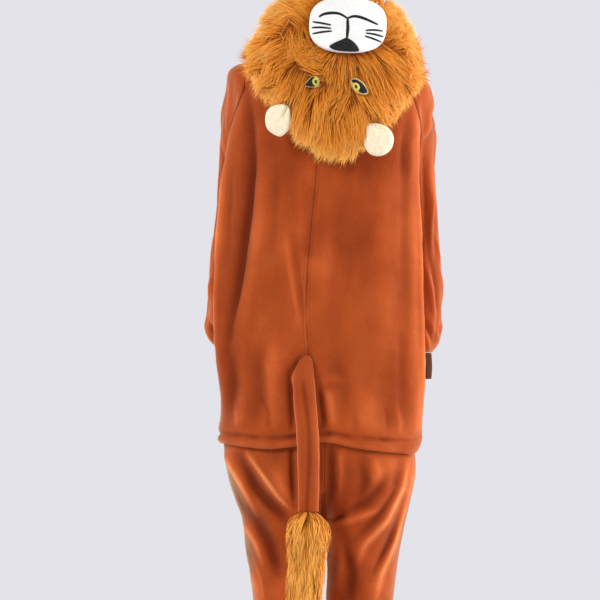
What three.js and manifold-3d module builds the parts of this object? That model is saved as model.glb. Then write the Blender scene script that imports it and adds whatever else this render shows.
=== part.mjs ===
// Lion onesie, worn and hanging from the shoulders: its back looks to -Y, its top to +Z, in millimetres.
// The origin lies between the shoulders, at the height of their tops.
import * as THREE from 'three';
import Module from 'manifold-3d';
import { mergeVertices } from 'three/addons/utils/BufferGeometryUtils.js';

const wasm = await Module();
wasm.setup();

// Driving sizes
const CLOTH = 2.6; // velvety fleece wall
const SEAM = 0.3; // clear gap between pieces that are sewn together
const PILE = 15; // long pile of the mane, with its backing
const PILE_PRESSED = 2.2; // where the mane lies against the back
const PILE_FRONT = 6; // at its front ends
const CLUMP_TURN = 105; // degrees from the back to where the clumps end
const PILE_CLUMP = 4; // how far the mane's clumps rise and fall
const SQUARENESS = 2.4; // of the body's sections: 2 is an ellipse
const DEG = Math.PI / 180;

// Body sections from the hem up to the neck: half-widths behind the arms, depths, the flank that the
// arms press in, and where the centre back seam runs
const BODY = [
  { z: -728, left: 203, right: 184, back: 126, front: 120, flank: 203, seam: -28 },
  { z: -712, left: 209, right: 190, back: 135, front: 127, flank: 207, seam: -30 },
  { z: -690, left: 206, right: 190, back: 131, front: 124, flank: 202, seam: -31 },
  { z: -644, left: 224, right: 208, back: 134, front: 124, flank: 184, seam: -32 },
  { z: -590, left: 247, right: 223, back: 138, front: 122, flank: 150, seam: -31 },
  { z: -546, left: 255, right: 225, back: 140, front: 120, flank: 136, seam: -31 },
  { z: -466, left: 260, right: 224, back: 142, front: 118, flank: 134, seam: -35 },
  { z: -359, left: 246, right: 218, back: 140, front: 114, flank: 130, seam: -30 },
  { z: -281, left: 236, right: 213, back: 137, front: 112, flank: 128, seam: -23 },
  { z: -203, left: 226, right: 208, back: 133, front: 112, flank: 136, seam: -15 },
  { z: -117, left: 205, right: 214, back: 127, front: 110, flank: 168, seam: -8 },
  { z: -47, left: 181, right: 202, back: 118, front: 104, flank: 178, seam: -4 },
  { z: -8, left: 170, right: 194, back: 108, front: 96, flank: 176, seam: 0 },
  { z: 14, left: 152, right: 172, back: 97, front: 88, flank: 158, seam: 3 },
  { z: 30, left: 124, right: 140, back: 86, front: 80, flank: 128, seam: 5 },
  { z: 42, left: 98, right: 112, back: 77, front: 73, flank: 102, seam: 6 },
  { z: 50, left: 76, right: 88, back: 70, front: 68, flank: 82, seam: 6 },
];
const NECK_ROW = BODY.length - 1;
const FRONT_NECK_DROP = 1.3; // rows that the neckline falls at the front
const FLANK_RIGHT = 0.93; // the right flank's share of the left one's width
const FLANK_BLEND = [62, 98]; // degrees from the back over which the back's width gives way to the flank
const SIDE_SEAM = 98; // degrees from the back
const SHOULDER_SEAM = 90;
const ARMHOLE = { middle: 10.95, half: 2.05, open: 27 }; // rows, rows, degrees to each side
const BACK_COLUMNS = 10;
const BACK_ROWS = 11; // below the armhole
const FRONT_COLUMNS = 6;
const FRONT_ROWS = 9;

// How far the hem hangs below or above its level across the back
const HEM = [
  { x: -205, drop: 0 },
  { x: -110, drop: 10 },
  { x: -60, drop: 5 },
  { x: 0, drop: -4 },
  { x: 60, drop: 8 },
  { x: 120, drop: 16 },
  { x: 190, drop: 22 },
];
const HEM_ROWS = 4; // rows over which that fades

// Sleeve rows from below the armpit to the cuff: outer reach on each side, half-width, centre, half-depth
const SLEEVE = [
  { z: -262, left: 210, right: 225, half: 36, y: 58, deep: 50 },
  { z: -310, left: 214, right: 226, half: 37, y: 64, deep: 50 },
  { z: -374, left: 218, right: 229, half: 39, y: 72, deep: 50 },
  { z: -435, left: 225, right: 231, half: 42, y: 80, deep: 50 },
  { z: -490, left: 231, right: 231, half: 44, y: 88, deep: 49 },
  { z: -520, left: 230, right: 226, half: 43, y: 92, deep: 46 },
  { z: -536, left: 219, right: 213, half: 33, y: 94, deep: 36 },
];
const SLEEVE_DROP = { left: 0, right: 16 }; // extra length by the cuff
const SLEEVE_SPREAD = [30, 120]; // how far the underarm and the shoulder swing out
const SLEEVE_FALL = [60, 300]; // how straight they then fall
const SLEEVE_COLUMNS = 16;
const SLEEVE_TURN_ROWS = 5;

// Leg rows from inside the hem to the ankle: outer and inner reach, depths, and how far the two legs
// have parted: 0 is one trunk, 1 is two tubes
const LEG = [
  { z: -694, left: 203.5, right: 188, innerLeft: 0, innerRight: 0, back: 130, front: 123, parted: 0 },
  { z: -714, left: 198, right: 181, innerLeft: 0, innerRight: 0, back: 122, front: 115, parted: 0 },
  { z: -735, left: 195, right: 177, innerLeft: 0, innerRight: 0, back: 117, front: 112, parted: 0 },
  { z: -770, left: 192, right: 179, innerLeft: 0, innerRight: 0, back: 122, front: 113, parted: 0 },
  { z: -805, left: 185, right: 176, innerLeft: 0, innerRight: 0, back: 122, front: 112, parted: 0.08 },
  { z: -840, left: 174, right: 169, innerLeft: 0, innerRight: 0, back: 118, front: 110, parted: 0.42 },
  { z: -880, left: 159, right: 160, innerLeft: -1, innerRight: 1, back: 110, front: 104, parted: 1 },
  { z: -930, left: 155, right: 150, innerLeft: -7, innerRight: 4, back: 98, front: 94, parted: 1 },
  { z: -985, left: 144, right: 141, innerLeft: -10, innerRight: 6, back: 88, front: 84, parted: 1 },
  { z: -1034, left: 138, right: 135, innerLeft: -11, innerRight: 4, back: 82, front: 78, parted: 1 },
  { z: -1100, left: 135, right: 131, innerLeft: -13, innerRight: 8, back: 78, front: 74, parted: 1 },
  { z: -1170, left: 132, right: 128, innerLeft: -16, innerRight: 12, back: 76, front: 72, parted: 1 },
  { z: -1220, left: 130, right: 126, innerLeft: -18, innerRight: 15, back: 74, front: 70, parted: 1 },
  { z: -1240, left: 118, right: 114, innerLeft: -30, innerRight: 26, back: 58, front: 54, parted: 1 },
];
const LEG_COLUMNS = 8;

// Rib cuffs: centre, half-width, half-depth, top and bottom
const CUFFS = [
  { name: 'cuff_left', x: -186, y: 94, wide: 31, deep: 34, top: -536.5, bottom: -588 },
  { name: 'cuff_right', x: 181, y: 94, wide: 31, deep: 34, top: -552.5, bottom: -604 },
  { name: 'ankle_left', x: -74, y: -2, wide: 42, deep: 53, top: -1240.5, bottom: -1294 },
  { name: 'ankle_right', x: 70, y: -2, wide: 42, deep: 53, top: -1240.5, bottom: -1294 },
];
const CUFF_RIBS = 16;
const RIB_RISE = 1.2;

// Folds: a line on the garment's back or front face, its width and how far it rises or sinks
const BODY_FOLDS = [
  { face: 'back', x1: -136, z1: -130, x2: -152, z2: -343, width: 16, rise: -7 },
  { face: 'back', x1: -156, z1: -370, x2: -189, z2: -560, width: 17, rise: -8 },
  { face: 'back', x1: -112, z1: -170, x2: -108, z2: -430, width: 24, rise: 5 },
  { face: 'back', x1: -74, z1: -318, x2: -43, z2: -540, width: 15, rise: 5 },
  { face: 'back', x1: 88, z1: -230, x2: 98, z2: -520, width: 20, rise: -4 },
  { face: 'back', x1: 148, z1: -160, x2: 160, z2: -480, width: 22, rise: 4 },
  { face: 'back', x1: -120, z1: -580, x2: -90, z2: -690, width: 20, rise: -5 },
  { face: 'back', x1: 120, z1: -560, x2: 110, z2: -690, width: 20, rise: -4 },
  { face: 'front', x1: -70, z1: -160, x2: -60, z2: -520, width: 22, rise: -5 },
  { face: 'front', x1: 75, z1: -200, x2: 60, z2: -560, width: 22, rise: -5 },
];
const LEG_FOLDS = [
  { face: 'back', x1: -150, z1: -745, x2: -95, z2: -850, width: 15, rise: 5 },
  { face: 'back', x1: -140, z1: -790, x2: -100, z2: -880, width: 13, rise: -5 },
  { face: 'back', x1: 145, z1: -800, x2: 90, z2: -900, width: 16, rise: 5 },
  { face: 'back', x1: 130, z1: -850, x2: 60, z2: -990, width: 15, rise: -5 },
  { face: 'front', x1: -130, z1: -800, x2: -70, z2: -940, width: 18, rise: 4 },
  { face: 'front', x1: 130, z1: -800, x2: 70, z2: -940, width: 18, rise: 4 },
];

// Hood sections by degrees from the back: the body row its fold hangs to, how far that fold stands off,
// the widest reach with its height, and the rim
const HOOD = [
  { turn: -165, row: 15.2, fold: 4, reach: 92, reachZ: 60, rim: 84, rimZ: 84 },
  { turn: -125, row: 14.8, fold: 12, reach: 114, reachZ: 62, rim: 104, rimZ: 92 },
  { turn: -92, row: 13.9, fold: 14, reach: 163, reachZ: 50, rim: 138, rimZ: 98 },
  { turn: -62, row: 11.7, fold: 20, reach: 202, reachZ: 18, rim: 172, rimZ: 106 },
  { turn: -38, row: 10.2, fold: 34, reach: 206, reachZ: -30, rim: 178, rimZ: 122 },
  { turn: -12, row: 9.55, fold: 46, reach: 205, reachZ: -55, rim: 160, rimZ: 150 },
  { turn: 14, row: 9.45, fold: 46, reach: 205, reachZ: -55, rim: 160, rimZ: 152 },
  { turn: 38, row: 9.7, fold: 36, reach: 208, reachZ: -30, rim: 178, rimZ: 128 },
  { turn: 62, row: 11.1, fold: 20, reach: 212, reachZ: 18, rim: 184, rimZ: 100 },
  { turn: 92, row: 13.9, fold: 14, reach: 176, reachZ: 48, rim: 150, rimZ: 92 },
  { turn: 125, row: 14.8, fold: 12, reach: 120, reachZ: 62, rim: 108, rimZ: 92 },
  { turn: 165, row: 15.2, fold: 4, reach: 94, reachZ: 60, rim: 86, rimZ: 84 },
];
const HOOD_CLEAR = 12; // between the hood's hidden side and the back
const HOOD_RAISE = 0.7; // between the neckline and the hood's edge
const HOOD_TURN = 165;
const HOOD_COLUMNS = 14;
const HOOD_ROWS = 14;
const HOOD_SEAM_TURN = 2;

// What lies on the hood's face: centre across and up, half-width, half-height, rise of the pad, tilt
const PATCHES = [
  { name: 'muzzle', x: 45, z: 84, wide: 77, high: 53, rise: 15, tilt: -2, power: 2.7, colour: 0xe6e8e8 },
  { name: 'eye_left', x: -24, z: -22, wide: 17, high: 13, rise: 3, tilt: -25, power: 2, colour: 0x1c1a14 },
  { name: 'eye_right', x: 70, z: -31, wide: 19, high: 14, rise: 3, tilt: -28, power: 2, colour: 0x1c1a14 },
  { name: 'ear_left', x: -89, z: -100, wide: 25, high: 31, rise: 13, tilt: 20, power: 2.3, colour: 0xfbf6dc },
  { name: 'ear_right', x: 107, z: -136, wide: 29, high: 32, rise: 13, tilt: -30, power: 2.3, colour: 0xfbf6dc },
];
const PATCH_SINK = 3; // depth that a patch presses into the pile
const PATCH_RINGS = 3;
const PATCH_SIDES = 16;
const NOSE = { x: 44, z: 46, wide: 29, high: 15, thick: 4, sink: 2 };

// Tail rows from its base on the back seam: centre, half-width, half-depth
const TAIL = [
  { x: -32, y: -142, z: -556, wide: 8, deep: 9 },
  { x: -38, y: -150, z: -580, wide: 17, deep: 12 },
  { x: -39, y: -158, z: -620, wide: 22, deep: 13 },
  { x: -34, y: -160, z: -680, wide: 22, deep: 14 },
  { x: -31, y: -162, z: -740, wide: 22, deep: 14 },
  { x: -30, y: -163, z: -800, wide: 21, deep: 14 },
  { x: -31, y: -164, z: -858, wide: 20, deep: 14 },
];
const TAIL_SIDES = 12;

// Tuft: a head under the tail's end and rings of locks fused to it
const TUFT = { x: -31, y: -164, z: -858.3, head: 20, headDrop: 60 };
const LOCK_RINGS = [
  { count: 14, root: 17, drop: 6, flare: 41, length: 195, width: 14, start: 0 },
  { count: 9, root: 13, drop: 24, flare: 26, length: 205, width: 13, start: 9 },
  { count: 4, root: 6, drop: 40, flare: 11, length: 196, width: 12, start: 20 },
];
const LOCK_STEPS = 3;

const PLACKET = { half: 17, thick: 3.2, sink: 1, fromRow: 0.6, toRow: 14.4, rows: 14 };
const BUTTONS = { count: 5, radius: 11, thick: 4, topRow: 13.6, bottomRow: 4.5 };

const FLEECE = { color: 0xb24c24, roughness: 0.92, metalness: 0 };
const MANE = { color: 0xcd782d, roughness: 0.95, metalness: 0 };
const RIB = { color: 0x55291f, roughness: 0.95, metalness: 0 };
const BLACK = { color: 0x151515, roughness: 0.5, metalness: 0 };
const BUTTON = { color: 0x7a3a1c, roughness: 0.35, metalness: 0 };

const clamp = (value, low, high) => Math.min(Math.max(value, low), high);
const mix = (a, b, t) => a + (b - a) * t;
const ease = (t) => clamp(t, 0, 1) ** 2 * (3 - 2 * clamp(t, 0, 1));
const steps = (from, to, count) => Array.from({ length: count + 1 }, (_, i) => mix(from, to, i / count));

// A table's column as a smooth curve over its rows
function along(rows, column, s) {
  const i = clamp(Math.floor(s), 0, rows.length - 2);
  const t = s - i;
  const [a, b, c, d] = [i - 1, i, i + 1, i + 2].map((k) => rows[clamp(k, 0, rows.length - 1)][column]);
  return b + 0.5 * t * (c - a + t * (2 * a - 5 * b + 4 * c - d + t * (3 * (b - c) + d - a)));
}

// The row number at which a rising column reaches a value
function rowAt(rows, column, value) {
  const next = rows.findIndex((row) => row[column] > value);
  if (next < 0) return rows.length - 1;
  if (next === 0) return 0;
  const low = rows[next - 1][column];
  return next - 1 + (value - low) / (rows[next][column] - low);
}

// Distance from the middle to a rounded section's edge, at an angle from the back
function sectionReach(angle, across, deep) {
  const n = SQUARENESS;
  return ((Math.abs(Math.sin(angle)) / across) ** n + (Math.abs(Math.cos(angle)) / deep) ** n) ** (-1 / n);
}

// How far the folds of a table move a point out
function foldRise(folds, point) {
  let rise = 0;
  for (const fold of folds) {
    if (fold.face === 'back' ? point.y > 0 : point.y < 0) continue;
    const [dx, dz] = [fold.x2 - fold.x1, fold.z2 - fold.z1];
    const share = clamp(((point.x - fold.x1) * dx + (point.z - fold.z1) * dz) / (dx * dx + dz * dz), 0, 1);
    const away = Math.hypot(point.x - fold.x1 - dx * share, point.z - fold.z1 - dz * share);
    rise += fold.rise * Math.exp(-((away / fold.width) ** 2));
  }
  return rise;
}

// A point on the body: degrees from the back, positive to the right, and a row number
function body(turn, row) {
  const angle = turn * DEG;
  const side = turn > 0 ? 'right' : 'left';
  const [low, high] = FLANK_BLEND;
  const behind = sectionReach(angle, along(BODY, side, row), along(BODY, 'back', row));
  const flank = along(BODY, 'flank', row) * (turn > 0 ? FLANK_RIGHT : 1);
  const ahead = sectionReach(angle, flank, along(BODY, 'front', row));
  const reach = mix(behind, ahead, ease((Math.abs(turn) - low) / (high - low)));
  const point = new THREE.Vector3(reach * Math.sin(angle), -reach * Math.cos(angle), along(BODY, 'z', row));
  if (point.y < 0) {
    point.z -= along(HEM, 'drop', rowAt(HEM, 'x', point.x)) * clamp(1 - row / HEM_ROWS, 0, 1)
      * ease(-point.y / along(BODY, 'back', row));
  }
  const out = foldRise(BODY_FOLDS, point);
  return point.add(new THREE.Vector3(Math.sin(angle), -Math.cos(angle), 0).multiplyScalar(out));
}

const neckRow = (turn) => NECK_ROW - FRONT_NECK_DROP * ease((Math.abs(turn) - 70) / 110);
const seamTurn = (row) => Math.atan2(along(BODY, 'seam', row), along(BODY, 'back', row)) / DEG;

// Degrees from the back of the side seam, which becomes the shoulder seam above the armhole
function sideTurn(row) {
  const low = ARMHOLE.middle - ARMHOLE.half;
  return mix(SIDE_SEAM, SHOULDER_SEAM, clamp((row - low) / (2 * ARMHOLE.half), 0, 1));
}

function armholeOpen(row) {
  const part = (row - ARMHOLE.middle) / ARMHOLE.half;
  return Math.abs(part) < 1 ? ARMHOLE.open * Math.sqrt(1 - part * part) : 0;
}

// Rows of a body panel: even below, closer at both ends of the armhole, then up to the neck
function panelRows(below, above) {
  const low = ARMHOLE.middle - ARMHOLE.half;
  const half = SLEEVE_COLUMNS / 2;
  const hole = steps(0, 1, half).map((k) => ARMHOLE.middle - ARMHOLE.half * Math.cos(Math.PI * k));
  return [...steps(0, low, below).slice(0, -1), ...hole, ...above];
}

// The way out of a surface at a point, from its own slope
function outward(surface, u, v, sign, du = 1e-3, dv = 1e-3) {
  const across = surface(u + du, v).sub(surface(u - du, v));
  const up = surface(u, v + dv).sub(surface(u, v - dv));
  return across.cross(up).normalize().multiplyScalar(sign);
}

// A closed mesh from corner points and triangles
function closedMesh(points, triangles) {
  const geometry = new THREE.BufferGeometry();
  geometry.setAttribute('position', new THREE.Float32BufferAttribute(points.flatMap((p) => p.toArray()), 3));
  geometry.setIndex(triangles.flat());
  return geometry;
}

// A cloth wall over a grid of a surface. sign is 1 where u, v and the way out are right-handed.
function wall({ surface, us, vs, thick = () => CLOTH, rise = () => 0, sign = 1, closed = false, trim = SEAM / 2 }) {
  const columns = us.length;
  const rows = vs.length;
  const outer = us.map((u) => vs.map((v) => surface(u, v)));
  const normals = us.map((u) => vs.map((v) => outward(surface, u, v, sign)));
  const shift = (from, to) => to.clone().sub(from).normalize().multiplyScalar(trim);
  for (let j = 0; j < rows && !closed; j += 1) {
    outer[0][j].add(shift(outer[0][j], outer[1][j]));
    outer[columns - 1][j].add(shift(outer[columns - 1][j], outer[columns - 2][j]));
  }
  for (const line of outer) {
    line[0].add(shift(line[0], line[1]));
    line[rows - 1].add(shift(line[rows - 1], line[rows - 2]));
  }
  const inner = outer.map((line, i) =>
    line.map((p, j) => p.clone().addScaledVector(normals[i][j], -thick(us[i], vs[j]))));
  outer.forEach((line, i) => line.forEach((p, j) => p.addScaledVector(normals[i][j], rise(us[i], vs[j], i, j))));
  const points = [...outer.flat(), ...inner.flat()];
  const at = (layer, i, j) => layer * columns * rows + (i % columns) * rows + j;
  const triangles = [];
  const quad = (a, b, c, d) => triangles.push(sign > 0 ? [a, b, c, a, c, d] : [a, c, b, a, d, c]);
  const spans = closed ? columns : columns - 1;
  for (let i = 0; i < spans; i += 1) {
    for (let j = 0; j < rows - 1; j += 1) {
      quad(at(0, i, j), at(0, i + 1, j), at(0, i + 1, j + 1), at(0, i, j + 1));
      quad(at(1, i, j + 1), at(1, i + 1, j + 1), at(1, i + 1, j), at(1, i, j));
    }
    quad(at(1, i, 0), at(1, i + 1, 0), at(0, i + 1, 0), at(0, i, 0));
    quad(at(0, i, rows - 1), at(0, i + 1, rows - 1), at(1, i + 1, rows - 1), at(1, i, rows - 1));
  }
  for (let j = 0; j < rows - 1 && !closed; j += 1) {
    quad(at(1, 0, j + 1), at(1, 0, j), at(0, 0, j), at(0, 0, j + 1));
    quad(at(0, columns - 1, j + 1), at(0, columns - 1, j), at(1, columns - 1, j), at(1, columns - 1, j + 1));
  }
  return closedMesh(points, triangles);
}

// A solid lofted through closed rings of points, each ring turning the same way as the first
function loft(rings) {
  const sides = rings[0].length;
  const last = (rings.length - 1) * sides;
  const middle = (ring) => ring.reduce((sum, p) => sum.add(p), new THREE.Vector3()).divideScalar(sides);
  const points = [...rings.flat(), middle(rings[0]), middle(rings[rings.length - 1])];
  const triangles = [];
  for (let i = 0; i < sides; i += 1) {
    const next = (i + 1) % sides;
    for (let k = 0; k < rings.length - 1; k += 1) {
      const [a, b] = [k * sides + i, k * sides + next];
      triangles.push([a, b, b + sides, a, b + sides, a + sides]);
    }
    triangles.push([points.length - 2, next, i], [points.length - 1, last + i, last + next]);
  }
  return closedMesh(points, triangles);
}

// Solids that are cut or joined
function solidOf(geometry) {
  const merged = mergeVertices(geometry, 1e-4);
  return new wasm.Manifold(new wasm.Mesh({
    numProp: 3,
    vertProperties: new Float32Array(merged.attributes.position.array),
    triVerts: new Uint32Array(merged.index.array),
  }));
}

function geometryOf(solid) {
  const mesh = solid.getMesh();
  const geometry = new THREE.BufferGeometry();
  geometry.setAttribute('position', new THREE.BufferAttribute(mesh.vertProperties, 3));
  geometry.setIndex(new THREE.BufferAttribute(mesh.triVerts, 1));
  return geometry;
}

const onesie = new THREE.Group();

function add(name, geometry, look) {
  const mesh = new THREE.Mesh(geometry, new THREE.MeshStandardMaterial(look));
  mesh.name = name;
  onesie.add(mesh);
}

// Back and front panels, each between its centre line and its side seam, armhole and shoulder seam
function makePanels() {
  const surface = (edge, centre) => (u, row) => {
    const from = edge.sign * (sideTurn(row) - edge.face * armholeOpen(row));
    return body(mix(from, centre(row), u), row);
  };
  const rows = panelRows(BACK_ROWS, [13.6, 14.3, 15, 16]);
  const frontRows = panelRows(FRONT_ROWS, [13.6, 14.3, NECK_ROW - FRONT_NECK_DROP]);
  for (const side of ['left', 'right']) {
    const sign = side === 'left' ? -1 : 1;
    const back = surface({ sign, face: 1 }, seamTurn);
    const front = surface({ sign, face: -1 }, () => sign * 180);
    const lower = (u, row) => front(u, row + frontTop(u, row));
    add(`back_${side}`, wall({ surface: back, us: steps(0, 1, BACK_COLUMNS), vs: rows, sign: -sign }), FLEECE);
    add(`front_${side}`, wall({ surface: lower, us: steps(0, 1, FRONT_COLUMNS), vs: frontRows, sign }), FLEECE);
  }
}

// The front's top rows climb from the low front neck to the shoulder seam
function frontTop(u, row) {
  const over = clamp((row - 13) / (NECK_ROW - FRONT_NECK_DROP - 13), 0, 1);
  return over * (neckRow(mix(SHOULDER_SEAM, 180, u)) - (NECK_ROW - FRONT_NECK_DROP));
}

// A sleeve's point: degrees round from its underarm by way of the back, and a row number. Below row 0
// it swings out of the armhole and falls to the first row of the table.
function sleevePoint(side) {
  const sign = side === 'left' ? -1 : 1;
  const ring = (angle, row) => {
    const drop = (SLEEVE_DROP[side] * Math.max(row, 0)) / (SLEEVE.length - 1);
    const half = along(SLEEVE, 'half', row);
    return new THREE.Vector3(
      sign * (along(SLEEVE, side, row) - half * (1 + Math.cos(angle))),
      along(SLEEVE, 'y', row) - along(SLEEVE, 'deep', row) * Math.sin(angle),
      along(SLEEVE, 'z', row) - drop,
    );
  };
  return (angle, row) => {
    if (row >= 0) return ring(angle, row);
    const w = row + 1;
    const bodyRow = ARMHOLE.middle - ARMHOLE.half * Math.cos(angle);
    const turn = sign * (sideTurn(bodyRow) - ARMHOLE.open * Math.sin(angle));
    const start = body(turn, bodyRow);
    const end = ring(angle, 0);
    const high = (1 - Math.cos(angle)) / 2;
    const spread = mix(...SLEEVE_SPREAD, high) * w * (1 - w) ** 2;
    const fall = mix(...SLEEVE_FALL, high) * w * w * (1 - w);
    const share = w * w * (3 - 2 * w);
    const point = start.lerp(end, share);
    point.x += sign * spread;
    point.z += fall;
    return point;
  };
}

function makeSleeves() {
  const around = steps(0, 2 * Math.PI, SLEEVE_COLUMNS).slice(0, -1);
  const rows = [...steps(-1, 0, SLEEVE_TURN_ROWS), ...steps(0, SLEEVE.length - 1, SLEEVE.length + 1).slice(1)];
  for (const side of ['left', 'right']) {
    const sign = side === 'left' ? 1 : -1;
    add(`sleeve_${side}`, wall({ surface: sleevePoint(side), us: around, vs: rows, sign, closed: true }), FLEECE);
  }
}

// A leg's point: degrees round from the inner back edge by the outer side to the inner front edge
function legPoint(side) {
  const sign = side === 'left' ? -1 : 1;
  const inner = side === 'left' ? 'innerLeft' : 'innerRight';
  return (turn, row) => {
    const [out, near] = [along(LEG, side, row), sign * along(LEG, inner, row)];
    const parted = clamp(along(LEG, 'parted', row), 0, 1);
    const angle = turn * DEG;
    const deep = along(LEG, turn < 180 ? 'back' : 'front', row);
    const half = sectionReach(angle / 2, out, deep);
    const trunk = [half * Math.sin(angle / 2), -half * Math.cos(angle / 2)];
    const tubeAngle = angle - Math.PI / 2;
    const tube = [
      (out + near) / 2 + ((out - near) / 2) * Math.sign(Math.sin(tubeAngle)) * Math.abs(Math.sin(tubeAngle)) ** 0.9,
      -deep * Math.sign(Math.sin(angle)) * Math.abs(Math.sin(angle)) ** 0.9,
    ];
    const point = new THREE.Vector3(
      sign * mix(trunk[0], tube[0], parted),
      mix(trunk[1], tube[1], parted),
      along(LEG, 'z', row),
    );
    const rise = foldRise(LEG_FOLDS, point);
    point.y += Math.sign(point.y) * rise;
    return point;
  };
}

function makeLegs() {
  const bodyPanels = ['back_left', 'back_right', 'front_left', 'front_right'];
  const rows = steps(0, LEG.length - 1, LEG.length + 3);
  for (const side of ['left', 'right']) {
    const sign = side === 'left' ? 1 : -1;
    const surface = legPoint(side);
    const panels = { back: steps(0, 180, LEG_COLUMNS), front: steps(180, 360, LEG_COLUMNS) };
    for (const [face, us] of Object.entries(panels)) {
      add(`leg_${face}_${side}`, seated(wall({ surface, us, vs: rows, sign }), bodyPanels), FLEECE);
    }
  }
}

// Rib-knit tubes, ribbed outside and plain inside
function makeCuffs() {
  for (const cuff of CUFFS) {
    const surface = (angle, z) => new THREE.Vector3(
      cuff.x + cuff.wide * Math.cos(angle),
      cuff.y + cuff.deep * Math.sin(angle),
      z,
    );
    const us = steps(0, 2 * Math.PI, CUFF_RIBS * 2).slice(0, -1);
    const rise = (u, v, i) => (i % 2 ? RIB_RISE : 0);
    const vs = steps(cuff.bottom, cuff.top, 1);
    add(cuff.name, wall({ surface, us, vs, rise, closed: true }), RIB);
  }
}

// The hood's fur side: degrees from the back, and 0 at the neck, under its fold, out and up to 1 at the rim
function hoodPoint(turn, v) {
  const row = rowAt(HOOD, 'turn', turn);
  const get = (column) => along(HOOD, column, row);
  const direction = new THREE.Vector3(Math.sin(turn * DEG), -Math.cos(turn * DEG), 0);
  const standing = (bodyRow, off) => {
    const point = body(turn, bodyRow);
    return [Math.hypot(point.x, point.y) + off, point.z + off * 0.5];
  };
  const neck = neckRow(turn);
  const start = standing(neck, 0);
  start[1] += HOOD_RAISE;
  const foldRow = Math.min(get('row'), neck - 0.3);
  const low = standing(foldRow, HOOD_CLEAR);
  const floor = [low[0] + get('fold') * 0.7, low[1] - get('fold') * 0.32];
  const points = [
    start,
    standing(mix(neck, foldRow, 0.45), HOOD_CLEAR),
    low,
    floor,
    [mix(floor[0], get('reach'), 0.8), mix(floor[1], get('reachZ'), 0.42)],
    [get('reach'), get('reachZ')],
    [mix(get('reach'), get('rim'), 0.42), mix(get('reachZ'), get('rimZ'), 0.55)],
    [get('rim'), get('rimZ')],
  ].map(([r, z]) => ({ r, z }));
  const s = v * (points.length - 1);
  const point = direction.multiplyScalar(along(points, 'r', s));
  point.z = along(points, 'z', s);
  return point;
}

// The mane's pile: thin where it is pressed to the back, full outside, and flat under the sewn patches
const pileDepth = (turn, v) => {
  const full = mix(PILE, PILE_FRONT, ease((Math.abs(turn) - 85) / 45));
  return mix(PILE_PRESSED, full, ease((v - 0.4) / 0.2)) * mix(1, 0.5, ease((v - 0.88) / 0.12));
};

function makeHood() {
  const halves = {
    hood_left: steps(-HOOD_TURN, HOOD_SEAM_TURN, HOOD_COLUMNS),
    hood_right: steps(HOOD_SEAM_TURN, HOOD_TURN, HOOD_COLUMNS),
  };
  for (const [name, us] of Object.entries(halves)) {
    const rise = (turn, v, i, j) => {
      const shaggy = ease((v - 0.45) / 0.1) * ease((CLUMP_TURN - Math.abs(turn)) / 20);
      const open = nearPatch(hoodPoint(turn, v)) ? 0 : shaggy;
      const edge = i === 0 || i === us.length - 1 || j === HOOD_ROWS;
      return edge ? 0 : open * PILE_CLUMP * ((i * 7 + j * 11) % 3 - 1);
    };
    add(name, wall({ surface: hoodPoint, us, vs: steps(0, 1, HOOD_ROWS), thick: pileDepth, rise }), MANE);
  }
}

const nearPatch = (point) => point.y < 0 && PATCHES.some((patch) =>
  Math.hypot((point.x - patch.x) / (patch.wide + 16), (point.z - patch.z) / (patch.high + 16)) < 1);

// Where the hood's outer face is met, looking from behind at a place across and up
function hoodUnder(x, z) {
  let [turn, v] = [x / 3.2, 0.75];
  for (let i = 0; i < 30; i += 1) {
    const here = hoodPoint(turn, v);
    const [ex, ez] = [x - here.x, z - here.z];
    const a = hoodPoint(turn + 0.5, v).sub(here).divideScalar(0.5);
    const b = hoodPoint(turn, v + 0.005).sub(here).divideScalar(0.005);
    const det = a.x * b.z - a.z * b.x;
    turn += clamp((ex * b.z - ez * b.x) / det, -12, 12);
    v = clamp(v + clamp((a.x * ez - a.z * ex) / det, -0.08, 0.08), 0.5, 1);
  }
  return { turn, v };
}

// A pad on the hood's face: its back is pressed into the pile, and its front is domed
function patchSolid(patch) {
  const ring = (share, height) => Array.from({ length: PATCH_SIDES }, (_, i) => {
    const angle = (i / PATCH_SIDES) * 2 * Math.PI;
    const power = 2 / patch.power;
    const across = share * patch.wide * Math.sign(Math.cos(angle)) * Math.abs(Math.cos(angle)) ** power;
    const up = share * patch.high * Math.sign(Math.sin(angle)) * Math.abs(Math.sin(angle)) ** power;
    const tilt = patch.tilt * DEG;
    const { turn, v } = hoodUnder(
      patch.x + across * Math.cos(tilt) - up * Math.sin(tilt),
      patch.z + across * Math.sin(tilt) + up * Math.cos(tilt),
    );
    return hoodPoint(turn, v).addScaledVector(outward(hoodPoint, turn, v, 1), height);
  });
  const domes = steps(1, 0.12, PATCH_RINGS).map((share) =>
    ring(share, patch.rise * (0.35 + 0.65 * Math.sqrt(1 - share * share))));
  const backs = steps(0.12, 1, PATCH_RINGS).map((share) => ring(share, -PATCH_SINK));
  return loft([...backs, ...domes]);
}

function makePatches() {
  for (const patch of PATCHES) {
    const pad = seated(patchSolid(patch), ['hood_left', 'hood_right']);
    add(patch.name, pad, { color: patch.colour, roughness: 0.9, metalness: 0 });
  }
}

const largest = (solid) => solid.decompose().sort((a, b) => b.volume() - a.volume())[0];

// A piece cut to lie the seam gap off the pieces that it presses on
function seated(geometry, names) {
  const cut = names.reduce((solid, name) => solid.subtract(solidOf(grown(name))), solidOf(geometry));
  return geometryOf(largest(cut));
}

// A hood half with its faces moved out by the seam gap
function grown(name) {
  const geometry = onesie.getObjectByName(name).geometry.clone();
  geometry.computeVertexNormals();
  const { position, normal } = geometry.attributes;
  for (let i = 0; i < position.count; i += 1) {
    position.setXYZ(i, ...['X', 'Y', 'Z'].map((axis) =>
      position[`get${axis}`](i) + normal[`get${axis}`](i) * SEAM * 1.6));
  }
  geometry.deleteAttribute('normal');
  return geometry;
}

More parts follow.
